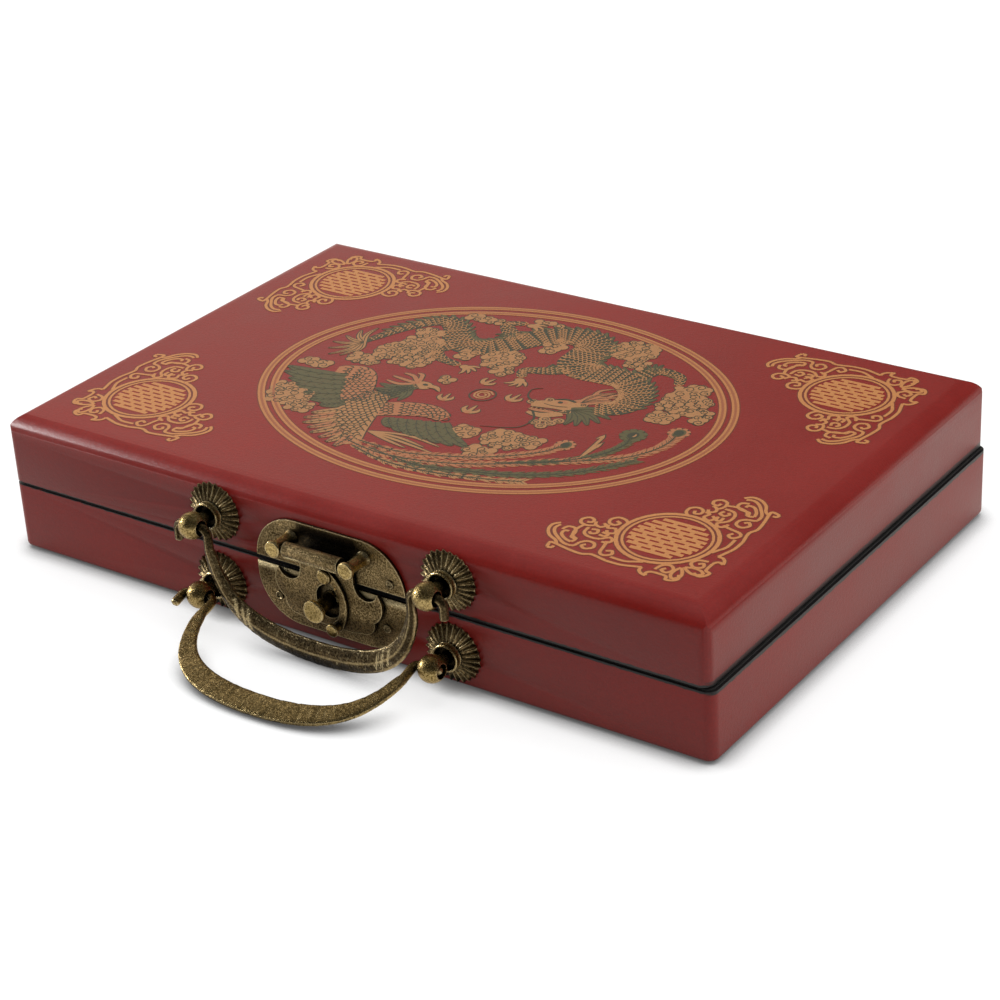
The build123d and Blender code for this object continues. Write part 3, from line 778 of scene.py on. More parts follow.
def joined(pieces):
    """The separate solids of one node, as one object."""
    bpy.ops.object.select_all(action="DESELECT")
    for piece in pieces:
        piece.select_set(True)
    bpy.context.view_layer.objects.active = pieces[0]
    bpy.ops.object.join()
    return pieces[0]


def hasp_plate():
    """The hasp, with the lip where its sheet closes round the barrel."""
    obj = from_node("hasp", "hasp_rolled", 0.22, 3)
    lip_y = HASP_PIVOT.y - BARREL_RADIUS * cos(LIP_ANGLE) - LIP_SINK
    lip_z = HASP_PIVOT.z + BARREL_RADIUS * sin(LIP_ANGLE)
    bpy.ops.object.select_all(action="DESELECT")
    bpy.ops.mesh.primitive_cylinder_add(
        vertices=16,
        radius=LIP_RADIUS * MM,
        depth=LIP_LENGTH * MM,
        location=(0, lip_y * MM, lip_z * MM),
        rotation=(0, radians(90), 0),
    )
    lip = bpy.context.object
    soften(lip, 0.15)
    settle(lip, lip.matrix_world.copy())
    shade(lip)
    return joined([obj, lip])


def lock_plates():
    """The two plates on the front and the nails that hold them."""
    for tray, brass in (("lid", LID_PLATE_BRASS), ("base", PLATE_BRASS)):
        plate = from_node(f"{tray}_lock_plate", f"{tray}_lock_plate_edged", 0.3, 3)
        finish_piece(plate, brass, tray, "antique_brass")
    for tray, (x, rise) in NAIL_PLACES.items():
        pair = [nail(f"{tray}_nail_{side}", side * x, PARTING_Z + rise) for side in (-1, 1)]
        pair = named(joined(pair), f"{tray}_plate_nails_sunk")
        finish_piece(pair, DARK_BRASS, tray, "antique_brass", [f"{tray}_plate_nails"])


def lock():
    """Plates, the studs beside the barrel, the staple, the hasp over it and its turning latch."""
    lock_plates()
    for side in ("left", "right"):
        x, _ = middle_of(f"hasp_stud_{side}")
        name = f"hasp_stud_{side}_turned"
        piece = beaten(name, STUD_PROFILE, 40, 0.10, 1.3, x, HASP_PIVOT.z)
        finish_piece(piece, GOLD_BRASS, "lid", "antique_brass", [f"hasp_stud_{side}"])
    _, z = middle_of("staple")
    staple = beaten("staple_hammered", STAPLE_PROFILE, 48, 0.13, 1.6, 0, z)
    finish_piece(staple, GOLD_BRASS, "base", "antique_brass", ["staple"])
    finish_piece(hasp_plate(), PLATE_BRASS, "hasp", "antique_brass")
    x, z = LATCH_PIVOT.x, LATCH_PIVOT.z
    rivet = beaten("latch_rivet_head", RIVET_PROFILE, 40, 0.06, 1.1, x, z)
    finish_piece(rivet, RUBBED_BRASS, "hasp", "antique_brass", ["latch_rivet"])
    latch = from_node("swing_latch", "swing_latch_edged", 0.28, 3)
    finish_piece(latch, PLATE_BRASS, "latch", "antique_brass")
    knob = beaten("latch_knob_turned", KNOB_PROFILE, 36, 0.06, 1.2, *middle_of("latch_knob"))
    finish_piece(knob, GOLD_BRASS, "latch", "antique_brass", ["latch_knob"])


# --- handles ---
# Drawn flat: x along the box, y up from the pivot line. The right half is mirrored to the left.
ROD_RADIUS = 1.45
ROD_BEND = 2.25
HOOK_TIP = 6.4  # how far the free end hangs past its eye
EYE_HALF_WIDTH = 3.5
ARM_START = 7.0
ARM_WIDTH = 4.0
GRIP_WIDTH = 7.7
HANDLE_THICKNESS = 2.5
OUTER_KNEE, INNER_KNEE = 24.0, 19.5
KNEE_LEAN, SHOULDER_LEAN = 2.6, 10.5
INNER_X = EYE_X - EYE_HALF_WIDTH - ROD_BEND
OUTER_X = EYE_X + EYE_HALF_WIDTH + ROD_BEND
FLAT_START, FLAT_RUN = 4.5, 6.0  # below the pivot, where the rod turns into a flat bar
ROUND_END = 0.9  # length over which each tip closes
CROWN, FLAT_BACK = -0.55, 4.0  # what is added to a circle's power at the front and the back
RING = 36  # vertices round the bar
BEND_STEPS = 8
ARM_STEPS = 10
GRIP_STEPS = 130
SUNK = 0.05  # how far the beaten bar lies inside its drawn section
PROUDEST = 0.06  # the most that a hammer mark may stand out of that section
CHISEL_DEPTH, CHISEL_HALF_WIDTH, CHISEL_LEAN = 0.30, 0.55, 0.9
UPPER_CHISEL = (24.0, 26.0, 28.4)  # places of the cut lines on each side of the middle


def curve_point(corners, t):
    """A point of the Bezier curve with these four corners."""
    a, b, c, d = (Vector(corner) for corner in corners)
    return a * (1 - t) ** 3 + b * 3 * t * (1 - t) ** 2 + c * 3 * t * t * (1 - t) + d * t ** 3


def arm_edge(x, knee, middle, t):
    """One edge of the bar, from the arm at x down round the knee to the middle of the grip."""
    corners = ((x, -ARM_START), (x - KNEE_LEAN, -knee), (x - SHOULDER_LEAN, -middle), (0, -middle))
    return curve_point(corners, t)


def bow_station(t):
    """Centre and half width of the right half of the grip, from the arm (0) to the middle (1)."""
    outer = arm_edge(INNER_X + ARM_WIDTH / 2, OUTER_KNEE, HANDLE_LENGTH, t)
    inner = arm_edge(INNER_X - ARM_WIDTH / 2, INNER_KNEE, HANDLE_LENGTH - GRIP_WIDTH, t)
    return (outer + inner) / 2, (outer - inner).length / 2


def bend(centre, first_angle):
    """A quarter turn of the rod, anticlockwise from the angle."""
    angles = [radians(first_angle + 90 * step / BEND_STEPS) for step in range(1, BEND_STEPS + 1)]
    return [centre + Vector((cos(angle), sin(angle))) * ROD_BEND for angle in angles]


def rod_line(tip):
    """The round end on the right: the hooked tip, the pin through the eye and the bend to the arm."""
    if tip:
        drop = tip - ROD_BEND
        points = [Vector((OUTER_X, -tip + step * drop / BEND_STEPS)) for step in range(BEND_STEPS + 1)]
        points += bend(Vector((OUTER_X - ROD_BEND, -ROD_BEND)), 0)
    else:
        points = [Vector((OUTER_X - ROD_BEND, 0))]
    start, end = points[-1].x, INNER_X + ROD_BEND
    for step in range(1, BEND_STEPS + 1):
        points.append(Vector((start + (end - start) * step / BEND_STEPS, 0)))
    points += bend(Vector((INNER_X + ROD_BEND, -ROD_BEND)), 90)
    drop = ARM_START - ROD_BEND
    for step in range(1, ARM_STEPS):
        points.append(Vector((INNER_X, -ROD_BEND - drop * step / ARM_STEPS)))
    return points


def flatness_at(point):
    """0 where the bar is a round rod, 1 where it is fully flattened."""
    if point.x >= EYE_X:
        return 0.0
    return min(max((-point.y - FLAT_START) / FLAT_RUN, 0.0), 1.0)


def half_stations(tip):
    """(centre, half width, flatness) from the right end of the handle to its middle."""
    stations = [(point, ROD_RADIUS, flatness_at(point)) for point in rod_line(tip)]
    for step in range(GRIP_STEPS + 1):
        point, width = bow_station(1 - (1 - step / GRIP_STEPS) ** 1.25)
        stations.append((point, width, flatness_at(point)))
    return stations


def handle_stations(left_tip, right_tip):
    """The stations of the whole handle, from its left end to its right end."""
    left = [(Vector((-point.x, point.y)), *rest) for point, *rest in half_stations(left_tip)]
    return left + half_stations(right_tip)[-2::-1]


def smooth(value):
    return value * value * (3 - 2 * value)


def raised(value, power):
    """A sine or cosine drawn towards a square corner by the power, with its sign kept."""
    return abs(value) ** (2 / power) * (1 if value > 0 else -1)


def beating(spot, flat):
    """Hammer marks, which grow as the bar flattens."""
    return flat * (0.20 * noise.noise(spot * 0.5) + 0.12 * noise.noise(spot * 1.4)) - SUNK


def chiselled(spot, places, across, out):
    """How deep the slanting cut lines are at this spot of the front."""
    depth = 0.0
    for place in places:
        for side in (-1, 1):
            gap = (spot.x - side * place + CHISEL_LEAN * side * across) / CHISEL_HALF_WIDTH
            depth += CHISEL_DEPTH * max(0.0, 1 - abs(gap)) * out
    return depth


def straight_bar(name, count):
    """A round bar of this many rings, one millimetre apart."""
    bpy.ops.object.select_all(action="DESELECT")
    bpy.ops.mesh.primitive_circle_add(vertices=RING, radius=1 * MM, fill_type="NGON")
    obj = named(bpy.context.object, name)
    with editing(obj, "EDGE"):
        bpy.ops.mesh.select_all(action="SELECT")
        for _ in range(count - 1):
            bpy.ops.mesh.extrude_region_move(TRANSFORM_OT_translate={"value": (0, 0, 1 * MM)})
    return obj


def handle(name, left_tip, right_tip, place, chisel=()):
    """A forged drop handle: a round rod at its eyes, flattened and crowned along its grip. An end
    whose tip is 0 stops inside its eye."""
    stations = handle_stations(left_tip, right_tip)
    last = len(stations) - 1
    lengths = [0.0]
    for before, after in zip(stations, stations[1:]):
        lengths.append(lengths[-1] + (after[0] - before[0]).length)
    marks = []  # each vertex's place across the front, -2 on the back

    def forge(point):
        """Moves a vertex of the straight bar to its place on the handle."""
        index = round(point.z)
        centre, width, flatness = stations[index]
        along = (stations[min(index + 1, last)][0] - stations[max(index - 1, 0)][0]).normalized()
        flat = smooth(flatness)
        angle = atan2(point.y, point.x)
        front = sin(angle) > 0
        power = 2 + flat * (CROWN if front else FLAT_BACK)
        across, out = raised(cos(angle), power), raised(sin(angle), power)
        half_width = ROD_RADIUS + flat * (width - ROD_RADIUS)
        half_depth = ROD_RADIUS + flat * (HANDLE_THICKNESS / 2 - ROD_RADIUS)
        from_end = min(lengths[index], lengths[-1] - lengths[index])
        if from_end < ROUND_END:
            shrink = sqrt(max(1 - (1 - from_end / ROUND_END) ** 2, 0.12))
            half_width, half_depth = half_width * shrink, half_depth * shrink
        flat_place = centre + Vector((along.y, -along.x)) * half_width * across
        spot = Vector((flat_place.x, flat_place.y, half_depth * out))
        dent = beating(spot, flat)
        if front and flat > 0.5:
            dent -= chiselled(spot, chisel, across, out)
        spot.z += min(dent, PROUDEST) if front else -min(dent, 0.0)
        marks.append(across if front else -2.0)
        return spot

    obj = straight_bar(name, len(stations))
    reshape(obj, forge)
    obj.data.attributes.new("across", "FLOAT", "POINT").data.foreach_set("value", marks)
    face_outwards(obj)
    settle(obj, place)
    shade(obj, 45)
    return obj


def handles():
    """The upper handle hangs on the front; the lower one lies forward with its grip on the ground."""
    hanging = Matrix.Translation(UPPER_PIVOT * MM) @ FRONT_TURN
    piece = handle("upper_handle_forged", HOOK_TIP, HOOK_TIP, hanging, UPPER_CHISEL)
    finish_piece(piece, UPPER_BRASS, "upper_handle", "antique_brass", ["upper_handle"])
    half = HANDLE_THICKNESS / 2
    pitch = asin(LOWER_PIVOT.z / hypot(HANDLE_LENGTH, half)) - atan2(half, HANDLE_LENGTH)
    turn = Matrix.Rotation(pitch, 4, "X") @ Matrix.Rotation(radians(180), 4, "Y")
    piece = handle("lower_handle_forged", 0, HOOK_TIP, Matrix.Translation(LOWER_PIVOT * MM) @ turn)
    finish_piece(piece, LOWER_BRASS, "lower_handle", "antique_brass", ["lower_handle"])


# --- the back hinges ---
def back_hinges():
    """Two butt hinges, their leaves riding on the tray they are screwed to."""
    for side in ("left", "right"):
        for tray in ("lid", "base"):
            leaf = from_node(f"hinge_{tray}_leaf_{side}", f"hinge_{tray}_leaf_{side}_edged", 0.2, 2)
            finish_piece(leaf, PLATE_BRASS, tray, "antique_brass")
        pin = from_node(f"hinge_pin_{side}", f"hinge_pin_{side}_rounded", 0.3, 2)
        finish_piece(pin, GOLD_BRASS, "base", "antique_brass")


# --- the lid's print: flat pen strokes of coloured ink, laid out from the middle of the oval ---
PRINT_CENTRE = Vector((-0.9, 2.1))
INK_SINK = 0.02  # how far the ink's underside lies in the leather
UNDER, FILL, LINE = 0.02, 0.05, 0.08  # tops of the dark ground, the colour and the drawing on it
INK_STEP, INK_STEPS = 0.0004, 37  # strokes that cross differ by a hair, so no two tops coincide
INK_RISE = 0.01  # how much a stroke climbs, so that where it crosses itself one side is on top
INK_WELD = 1e-7  # metres: joins a stroke's ends to its sides
NIB_CORNERS = ((-0.5, -0.5), (0.5, -0.5), (0.5, 0.5), (-0.5, 0.5))
THINNEST_STROKE = 0.05
DARK_RIM = 0.35  # how far the dark ground stands out round a colour
FINE = 0.3  # width of a drawn line
SCALE_LINE = 0.36
FAN = [pi * step / 4 for step in range(5)]
ROUND = [2 * pi * step / 32 for step in range(32)]
OVAL_SIDES = 160


def at(x, y):
    return Vector((x, y))


def swung(direction, angle):
    """A flat direction turned to the left."""
    c, s = cos(angle), sin(angle)
    return at(direction.x * c - direction.y * s, direction.x * s + direction.y * c)


def flow(points, steps=4):
    """A smooth run through the given points."""
    points = [at(*point) for point in points]
    ends = [points[0], *points, points[-1]]
    run = []
    for a, b, c, d in zip(ends, ends[1:], ends[2:], ends[3:]):
        square, cube = 2 * a - 5 * b + 4 * c - d, 3 * (b - c) - a + d
        for step in range(steps):
            t = step / steps
            run.append((2 * b + (c - a) * t + square * t * t + cube * t ** 3) / 2)
    return run + [points[-1]]


def tangents(run):
    """The direction of the run at each of its points."""
    ahead, behind = run[1:] + run[-1:], run[:1] + run[:-1]
    return [(a - b).normalized() for a, b in zip(ahead, behind)]


def swelling(count, start, middle, end):
    """Widths that pass through three values along a stroke."""
    widths = []
    for index in range(count):
        f = index / (count - 1)
        width = start * (1 - f) * (1 - 2 * f) + middle * 4 * f * (1 - f) + end * f * (2 * f - 1)
        widths.append(max(width, THINNEST_STROKE))
    return widths


def pen_nib():
    """The square section that every stroke is drawn with."""
    outline = bpy.data.curves.new("pen_nib", "CURVE")
    spline = outline.splines.new("POLY")
    spline.points.add(len(NIB_CORNERS) - 1)
    for point, (x, y) in zip(spline.points, NIB_CORNERS):
        point.co = (x, y, 0.0, 1.0)
    spline.use_cyclic_u = True
    nib = bpy.data.objects.new("pen_nib", outline)
    bpy.context.scene.collection.objects.link(nib)
    return nib


class Ink:
    """Strokes of one colour at one level."""

    def __init__(self, name, top, material):
        self.name, self.top, self.material, self.strokes = name, top, material, []

    def stroke(self, points, widths, closed=False):
        """A line of one width, or of a width for each point."""
        if isinstance(widths, (int, float)):
            widths = [widths] * len(points)
        self.strokes.append((points, widths, closed))

    def brush(self, points, start, middle, end, steps=4):
        """A smooth stroke whose width changes along it."""
        run = flow(points, steps)
        self.stroke(run, swelling(len(run), start, middle, end))

    def oval(self, centre, across, up, turn=0.0, steps=6):
        """A filled oval, as one stroke that swells and closes."""
        axis = at(cos(turn), sin(turn))
        places = [-cos(pi * step / steps) for step in range(steps + 1)]
        widths = [2 * up * sqrt(max(1 - place * place, 0.0)) for place in places]
        widths = [max(width, THINNEST_STROKE) for width in widths]
        self.stroke([centre + axis * across * place for place in places], widths)

    def curl(self, centre, radius, width, start=0.0, turns=1.2, hand=1, steps=8):
        """A scroll that winds inwards."""
        points = []
        for step in range(steps + 1):
            f = step / steps
            angle = start + hand * 2 * pi * turns * f
            points.append(centre + at(cos(angle), sin(angle)) * radius * (1 - 0.75 * f))
        self.stroke(points, width)

    def heights(self):
        """How high each vertex of the converted curve lies: the ends of the strokes come first,
        with the last stroke foremost, and then their sides."""
        corners = len(NIB_CORNERS)
        ends, sides = [], []
        for index, (points, _, closed) in enumerate(self.strokes):
            level = self.top + INK_STEP * (index % INK_STEPS)
            rise = 0.0 if closed else INK_RISE
            last = len(points) - 1
            if not closed:
                ends = [level + rise] * corners + [level] * corners + ends
            for step in range(len(points)):
                sides += [level + rise * step / last] * corners
        return ends + sides

    def drawn(self, nib):
        """The strokes as one mesh object, drawn with the nib."""
        curve = bpy.data.curves.new(self.name, "CURVE")
        curve.dimensions = "2D"
        curve.fill_mode = "NONE"
        curve.bevel_mode = "OBJECT"
        curve.bevel_object = nib
        curve.use_fill_caps = True
        for points, widths, closed in self.strokes:
            spline = curve.splines.new("POLY")
            spline.points.add(len(points) - 1)
            for target, point, width in zip(spline.points, points, widths):
                target.co = (point.x, point.y, 0.0, 1.0)
                target.radius = width
            spline.use_cyclic_u = closed
        obj = bpy.data.objects.new(self.name, curve)
        bpy.context.scene.collection.objects.link(obj)
        only(obj)
        bpy.ops.object.convert(target="MESH")
        return obj

    def press(self, nib):
        """Lays the strokes on the lid as closed, flat slips of ink."""
        obj = self.drawn(nib)
        for vertex, level in zip(obj.data.vertices, self.heights()):
            x, y, z = vertex.co
            height = level if z > 0 else -INK_SINK
            place = Vector((x + PRINT_CENTRE.x, y + PRINT_CENTRE.y, LID_HIGH.z + height))
            vertex.co = place * MM
        obj.data.update()
        with editing(obj, "VERT"):
            bpy.ops.mesh.select_all(action="SELECT")
            bpy.ops.mesh.remove_doubles(threshold=INK_WELD)
        face_outwards(obj)
        bpy.ops.object.shade_flat()
        finish_piece(obj, self.material, "lid")


def printed_ink(name, colour, worn=(0.21, 0.016, 0.010), share=0.3):
    """Screen-printed ink: slightly uneven cover, with the leather's red where it is thin."""
    finish = Finish(name, Specular_IOR_Level=0.5)
    thin = finish.ramp(finish.noise(2.2, 4, 0.75), 0.50, 0.66)
    rubbed = finish.ramp(finish.noise(0.12, 3), 0.40, 0.75)
    loss = finish.math("MULTIPLY", thin, finish.ramp(rubbed, 0.0, 1.0, share, share + 0.3))
    finish.colour(finish.mix(loss, colour, worn))
    finish.roughness(finish.ramp(thin, 0.0, 1.0, 0.38, 0.48))
    finish.bump(finish.noise(2.5, 2), 0.02, 0.6)
    return finish.material


class Palette:
    """The inks of the print, each at its level."""

    def __init__(self):
        dark = printed_ink("dark_ink", (0.040, 0.042, 0.022), (0.10, 0.05, 0.02))
        gold = printed_ink("gold_ink", (0.36, 0.168, 0.060))
        brown = printed_ink("brown_ink", (0.15, 0.028, 0.012))
        core = printed_ink("core_ink", (0.30, 0.095, 0.035))
        bright = printed_ink("border_gold_ink", (0.48, 0.195, 0.056))
        ring = printed_ink("ring_gold_ink", (0.42, 0.165, 0.050))
        green = printed_ink("green_ink", (0.088, 0.082, 0.030))
        rust = printed_ink("rust_ink", (0.36, 0.135, 0.052))
        self.ground = Ink("print_dark_ground", UNDER, dark)
        self.edge = Ink("print_brown_edges", UNDER, brown)
        self.gold = Ink("print_gold", FILL, gold)
        self.bright = Ink("print_border_gold", FILL, bright)
        self.ring = Ink("print_ring_gold", FILL, ring)
        self.green = Ink("print_green", FILL, green)
        self.rust = Ink("print_rust", FILL, rust)
        self.line = Ink("print_dark_lines", LINE, dark)
        self.glint = Ink("print_gold_lines", LINE, gold)
        self.core = Ink("print_core_lines", LINE, core)

    def outlined(self, ink, points, start, middle, end, steps=4):
        """A tapered stroke of colour with a dark rim."""
        rim = 2 * DARK_RIM
        self.ground.brush(points, start + rim, middle + rim, end + rim, steps)
        ink.brush(points, start, middle, end, steps)

    def spot(self, ink, centre, across, up, turn=0.0):
        """An oval of colour with a dark rim."""
        self.ground.oval(centre, across + DARK_RIM, up + DARK_RIM, turn)
        ink.oval(centre, across, up, turn)

    def press(self):
        nib = pen_nib()
        for ink in vars(self).values():
            ink.press(nib)
        bpy.data.objects.remove(nib)


def oval_border(palette):
    """The two gold rings round the picture, each with a brown core line."""
    for across, up in ((79.6, 63.9), (75.6, 59.9)):
        turns = [2 * pi * step / OVAL_SIDES for step in range(OVAL_SIDES)]
        ring = [at(across * cos(turn), up * sin(turn)) for turn in turns]
        palette.edge.stroke(ring, 3.0, True)
        palette.ring.stroke(ring, 2.3, True)
        palette.core.stroke(ring, 0.75, True)


SCROLL_WIDTH = 1.0
RING_PLACE = at(96.9, 53.4)  # a corner ring's middle, from the middle of the lid
# One wing of a corner ornament, from its ring's middle: smooth lines through listed points.
SCROLLS = (
    ((-14.5, 2.2), (-16.1, 3.6), (-18.6, 3.8), (-20.0, 1.8),
     (-19.1, -0.3), (-17.1, -0.6), (-16.4, 1.0), (-17.9, 1.7)),
    ((-22.1, -3.6), (-24.0, -4.5), (-26.5, -3.9), (-27.3, -1.8),
     (-25.8, -0.1), (-24.0, -0.7), (-23.8, -2.3), (-25.2, -2.7)),
    ((-24.9, -4.6), (-25.5, -8.1), (-24.3, -11.6), (-22.1, -12.8)),
    ((-31.4, -6.7), (-33.0, -8.7), (-32.4, -11.8), (-30.1, -14.6), (-27.2, -16.1), (-25.8, -17.7)),
    ((-30.8, -7.7), (-31.3, -9.9), (-29.9, -12.4), (-27.2, -14.6),
     (-24.0, -16.6), (-21.0, -16.6), (-20.4, -14.1)),
    ((-20.4, -14.1), (-18.9, -12.4), (-16.4, -12.6), (-15.4, -14.9),
     (-17.2, -16.5), (-18.9, -15.4), (-18.1, -14.2)),
    ((-29.0, -9.8), (-28.4, -7.7), (-26.2, -7.5), (-24.7, -9.5),
     (-24.3, -12.3), (-22.4, -13.2), (-22.7, -14.9)),
    ((-22.7, -14.9), (-25.0, -14.3), (-27.6, -12.3), (-27.9, -10.2), (-26.6, -9.9)),
    ((-22.9, -1.3), (-22.1, -3.0), (-20.1, -3.6), (-19.1, -2.0), (-20.4, -1.3)),
    ((-18.7, -1.3), (-18.0, -3.0), (-15.8, -2.4), (-14.6, -4.7), (-16.4, -5.6), (-17.5, -4.3)),
    ((-22.9, -5.3), (-22.6, -8.2), (-20.4, -9.9), (-16.8, -9.8),
     (-14.5, -7.6), (-12.8, -8.8), (-13.4, -10.5), (-15.2, -10.8)),
    ((-21.6, -5.9), (-19.8, -5.4), (-19.1, -7.1), (-20.4, -8.1), (-21.4, -7.3)),
    ((-18.0, -5.9), (-15.8, -6.4), (-16.2, -7.7), (-18.1, -7.6)),
    ((-14.0, -9.8), (-13.1, -12.8), (-12.3, -16.2), (-10.5, -17.2),
     (-8.7, -15.7), (-9.7, -14.0), (-11.2, -14.8)),
    ((-27.0, -20.7), (-27.7, -18.0), (-25.5, -18.0), (-21.0, -19.0),
     (-16.4, -19.5), (-13.5, -18.4), (-8.3, -19.5)),
    ((-8.3, -19.5), (-3.6, -19.5), (0.4, -18.4), (2.5, -17.8)),
    ((2.5, -17.8), (2.6, -19.4), (3.9, -20.7), (5.8, -21.3)),
    ((5.8, -21.3), (5.1, -20.0), (5.6, -19.0), (6.8, -18.6)),
    ((6.8, -18.6), (10.8, -18.8), (11.7, -20.5), (13.7, -20.1), (14.7, -18.6), (13.6, -16.6)),
    ((-27.0, -20.7), (-25.7, -20.5), (-25.6, -19.3)),
    ((-8.3, -17.0), (-3.6, -17.2), (-0.4, -15.8), (1.3, -15.0)),
    ((6.2, -17.0), (6.8, -14.1), (9.1, -13.1), (10.9, -15.0), (9.8, -17.2), (7.9, -16.4), (8.7, -15.1)),
    ((12.1, -12.8), (11.4, -15.0), (11.6, -17.6), (13.0, -19.4)),
    ((12.1, -12.8), (13.7, -14.8), (14.5, -17.4), (13.0, -19.4)),
)


def lattice(palette, place):
    """A round window of plain bars: level rows, tied by short uprights that shift from row to row."""
    radius, pitch, bar, bay = 11.4, 2.28, 1.5, 4.6
    for row in range(-4, 5):
        y = row * pitch
        half = sqrt(radius ** 2 - y ** 2)
        palette.bright.stroke([place(-half, y), place(half, y)], bar)
        for column in range(-3, 4):
            x = (column + 0.5 * (row % 2)) * bay
            if row < 4 and hypot(x, y + pitch) < radius - 0.6 and hypot(x, y) < radius - 0.6:
                palette.bright.stroke([place(x, y), place(x, y + pitch)], bar)


def corner_ornament(palette, side, depth):
    """A ringed lattice with a scrolled wing along each edge of the lid, turned to its corner."""

    def place(x, y):
        return at(side * (RING_PLACE.x + x), depth * (RING_PLACE.y - y)) - PRINT_CENTRE

    for radius, width in ((14.6, 1.25), (12.9, 0.8)):
        ring = [place(radius * cos(turn), radius * sin(turn)) for turn in ROUND]
        palette.edge.stroke(ring, width + 2 * DARK_RIM, True)
        palette.bright.stroke(ring, width, True)
    lattice(palette, place)
    for line in SCROLLS:
        for crossed in (False, True):
            spots = [place(-y, -x) if crossed else place(x, y) for x, y in line]
            run = flow(spots, 3)
            palette.edge.stroke(run, SCROLL_WIDTH + 2 * DARK_RIM)
            palette.bright.stroke(run, SCROLL_WIDTH)


def scaled(palette, points, widths, body, scales, pitch=1.5, steps=6):
    """A body along the points, covered with rows of overlapping scales; gives its run and widths."""
    run = flow(points, steps)
    widths = swelling(len(run), *widths)
    palette.ground.stroke(run, [width + 2 * DARK_RIM for width in widths])
    body.stroke(run, widths)
    travelled, row = 0.0, 0
    for before, after, along, width in zip(run, run[1:], tangents(run), widths):
        travelled += (after - before).length
        if travelled < pitch * 0.85:
            continue
        travelled, row = travelled - pitch * 0.85, row + 1
        across = at(-along.y, along.x)
        count = max(round(width / pitch), 1)
        size = width / count
        for place in range(count):
            offset = (place + 0.5 + 0.5 * (row % 2)) * size - width / 2
            if offset > width / 2 - size * 0.3:
                continue
            middle = after + across * offset
            arc = [middle + across * size * 0.5 * cos(turn) + along * size * 0.7 * sin(turn) for turn in FAN]
            scales.stroke(arc, SCALE_LINE)
    return run, widths


def cloud(palette, x, y, width, height, seed):
    """A bank of small round billows with a curl in each."""
    pitch = 2.7
    rows = max(round(2 * height / (pitch * 0.85)), 1)
    for row in range(rows):
        rise = (row - (rows - 1) / 2) * pitch * 0.85
        half = width * sqrt(max(1 - (rise / (height + pitch * 0.4)) ** 2, 0.0))
        count = max(round(2 * half / pitch), 1)
        for place in range(count):
            key = seed + 2.3 * place + 4.1 * row
            reach = (place - (count - 1) / 2) * pitch
            middle = at(x + reach + 0.4 * sin(key), y + rise + 0.35 * cos(1.7 * key))
            radius = 1.65 + 0.3 * sin(2.9 * key)
            palette.spot(palette.gold, middle, radius, radius)
            if (place + row) % 2:
                palette.line.curl(middle, radius * 1.1, FINE, key, 1.2, 1 if sin(key) > 0 else -1)


def flame(palette, x, y, size, lean):
    """Three tongues rising from a drop."""
    foot = at(x, y)
    for side, reach in ((-0.55, 0.85), (0.55, 0.75), (0.0, 1.1)):
        rise = at(sin(lean + side * 0.6), cos(lean + side * 0.6))
        bend = at(cos(lean), -sin(lean)) * side
        points = [foot + bend * size * 0.3, foot + bend * size * 0.9 + rise * size * 0.5]
        points.append(foot + bend * size * 0.5 + rise * size * reach * 1.35)
        palette.outlined(palette.gold, points, size * 0.42, size * 0.36, 0.1)
    palette.rust.oval(foot, size * 0.3, size * 0.22)


def spikes(palette, ink, root, tips, width):
    """A tuft of pointed locks from one root."""
    root = at(*root)
    for tip in tips:
        tip = at(*tip)
        bend = (root + tip) / 2 + swung(tip - root, pi / 2) * 0.12
        palette.outlined(ink, [root, bend, tip], width, width * 0.9, 0.12)
        palette.line.brush([root, bend, tip], 0.2, FINE, 0.1)


def feather(palette, ink, root, tip, width, bow):
    """A long feather with a dark quill and short barbs drawn on it."""
    root, tip = at(*root), at(*tip)
    side = swung(tip - root, pi / 2) * bow
    points = [root, root.lerp(tip, 0.35) + side, root.lerp(tip, 0.75) + side * 0.8, tip]
    palette.outlined(ink, points, width * 0.75, width * 1.15, 0.3)
    run = flow(points, 4)
    palette.line.stroke(run, FINE)
    for spot, along in list(zip(run, tangents(run)))[2:-2:2]:
        for turn in (-0.7, 0.7):
            palette.line.stroke([spot, spot + swung(along, turn) * width * 0.5], [0.25, 0.12])


def feathers(palette, inks, first_root, last_root, tips, width, bow):
    """A row of feathers whose roots share a line."""
    for index, tip in enumerate(tips):
        root = at(*first_root).lerp(at(*last_root), index / (len(tips) - 1))
        feather(palette, inks[index % len(inks)], root, tip, width, bow)


def plume(palette, ink, points, reach, eye=None):
    """A long tail plume: a dark quill with slanting barbs, and an eye of rings at its end."""
    run = flow(points, 12)
    palette.ground.stroke(run, swelling(len(run), 1.2, reach * 1.1, 0.8))
    palette.line.stroke(run, swelling(len(run), 0.5, 0.6, 0.35))
    for index, (spot, along) in enumerate(zip(run, tangents(run))):
        grown = reach * (0.72 + 0.4 * sin(index * 1.9)) * min(1.0, 0.35 + index / 20)
        for turn in (-0.8, 0.8):
            barb = swung(along, turn)
            lock = [spot, spot + barb * grown * 0.6, spot + barb * grown + along * grown * 0.4]
            ink.stroke(lock, [0.8, 1.0, 0.2])
            if index % 2:
                palette.line.stroke([spot, spot + barb * grown * 0.75], [0.28, 0.12])
    if eye:
        plume_eye(palette, ink, run[-1] + tangents(run)[-1] * 2.4, eye)


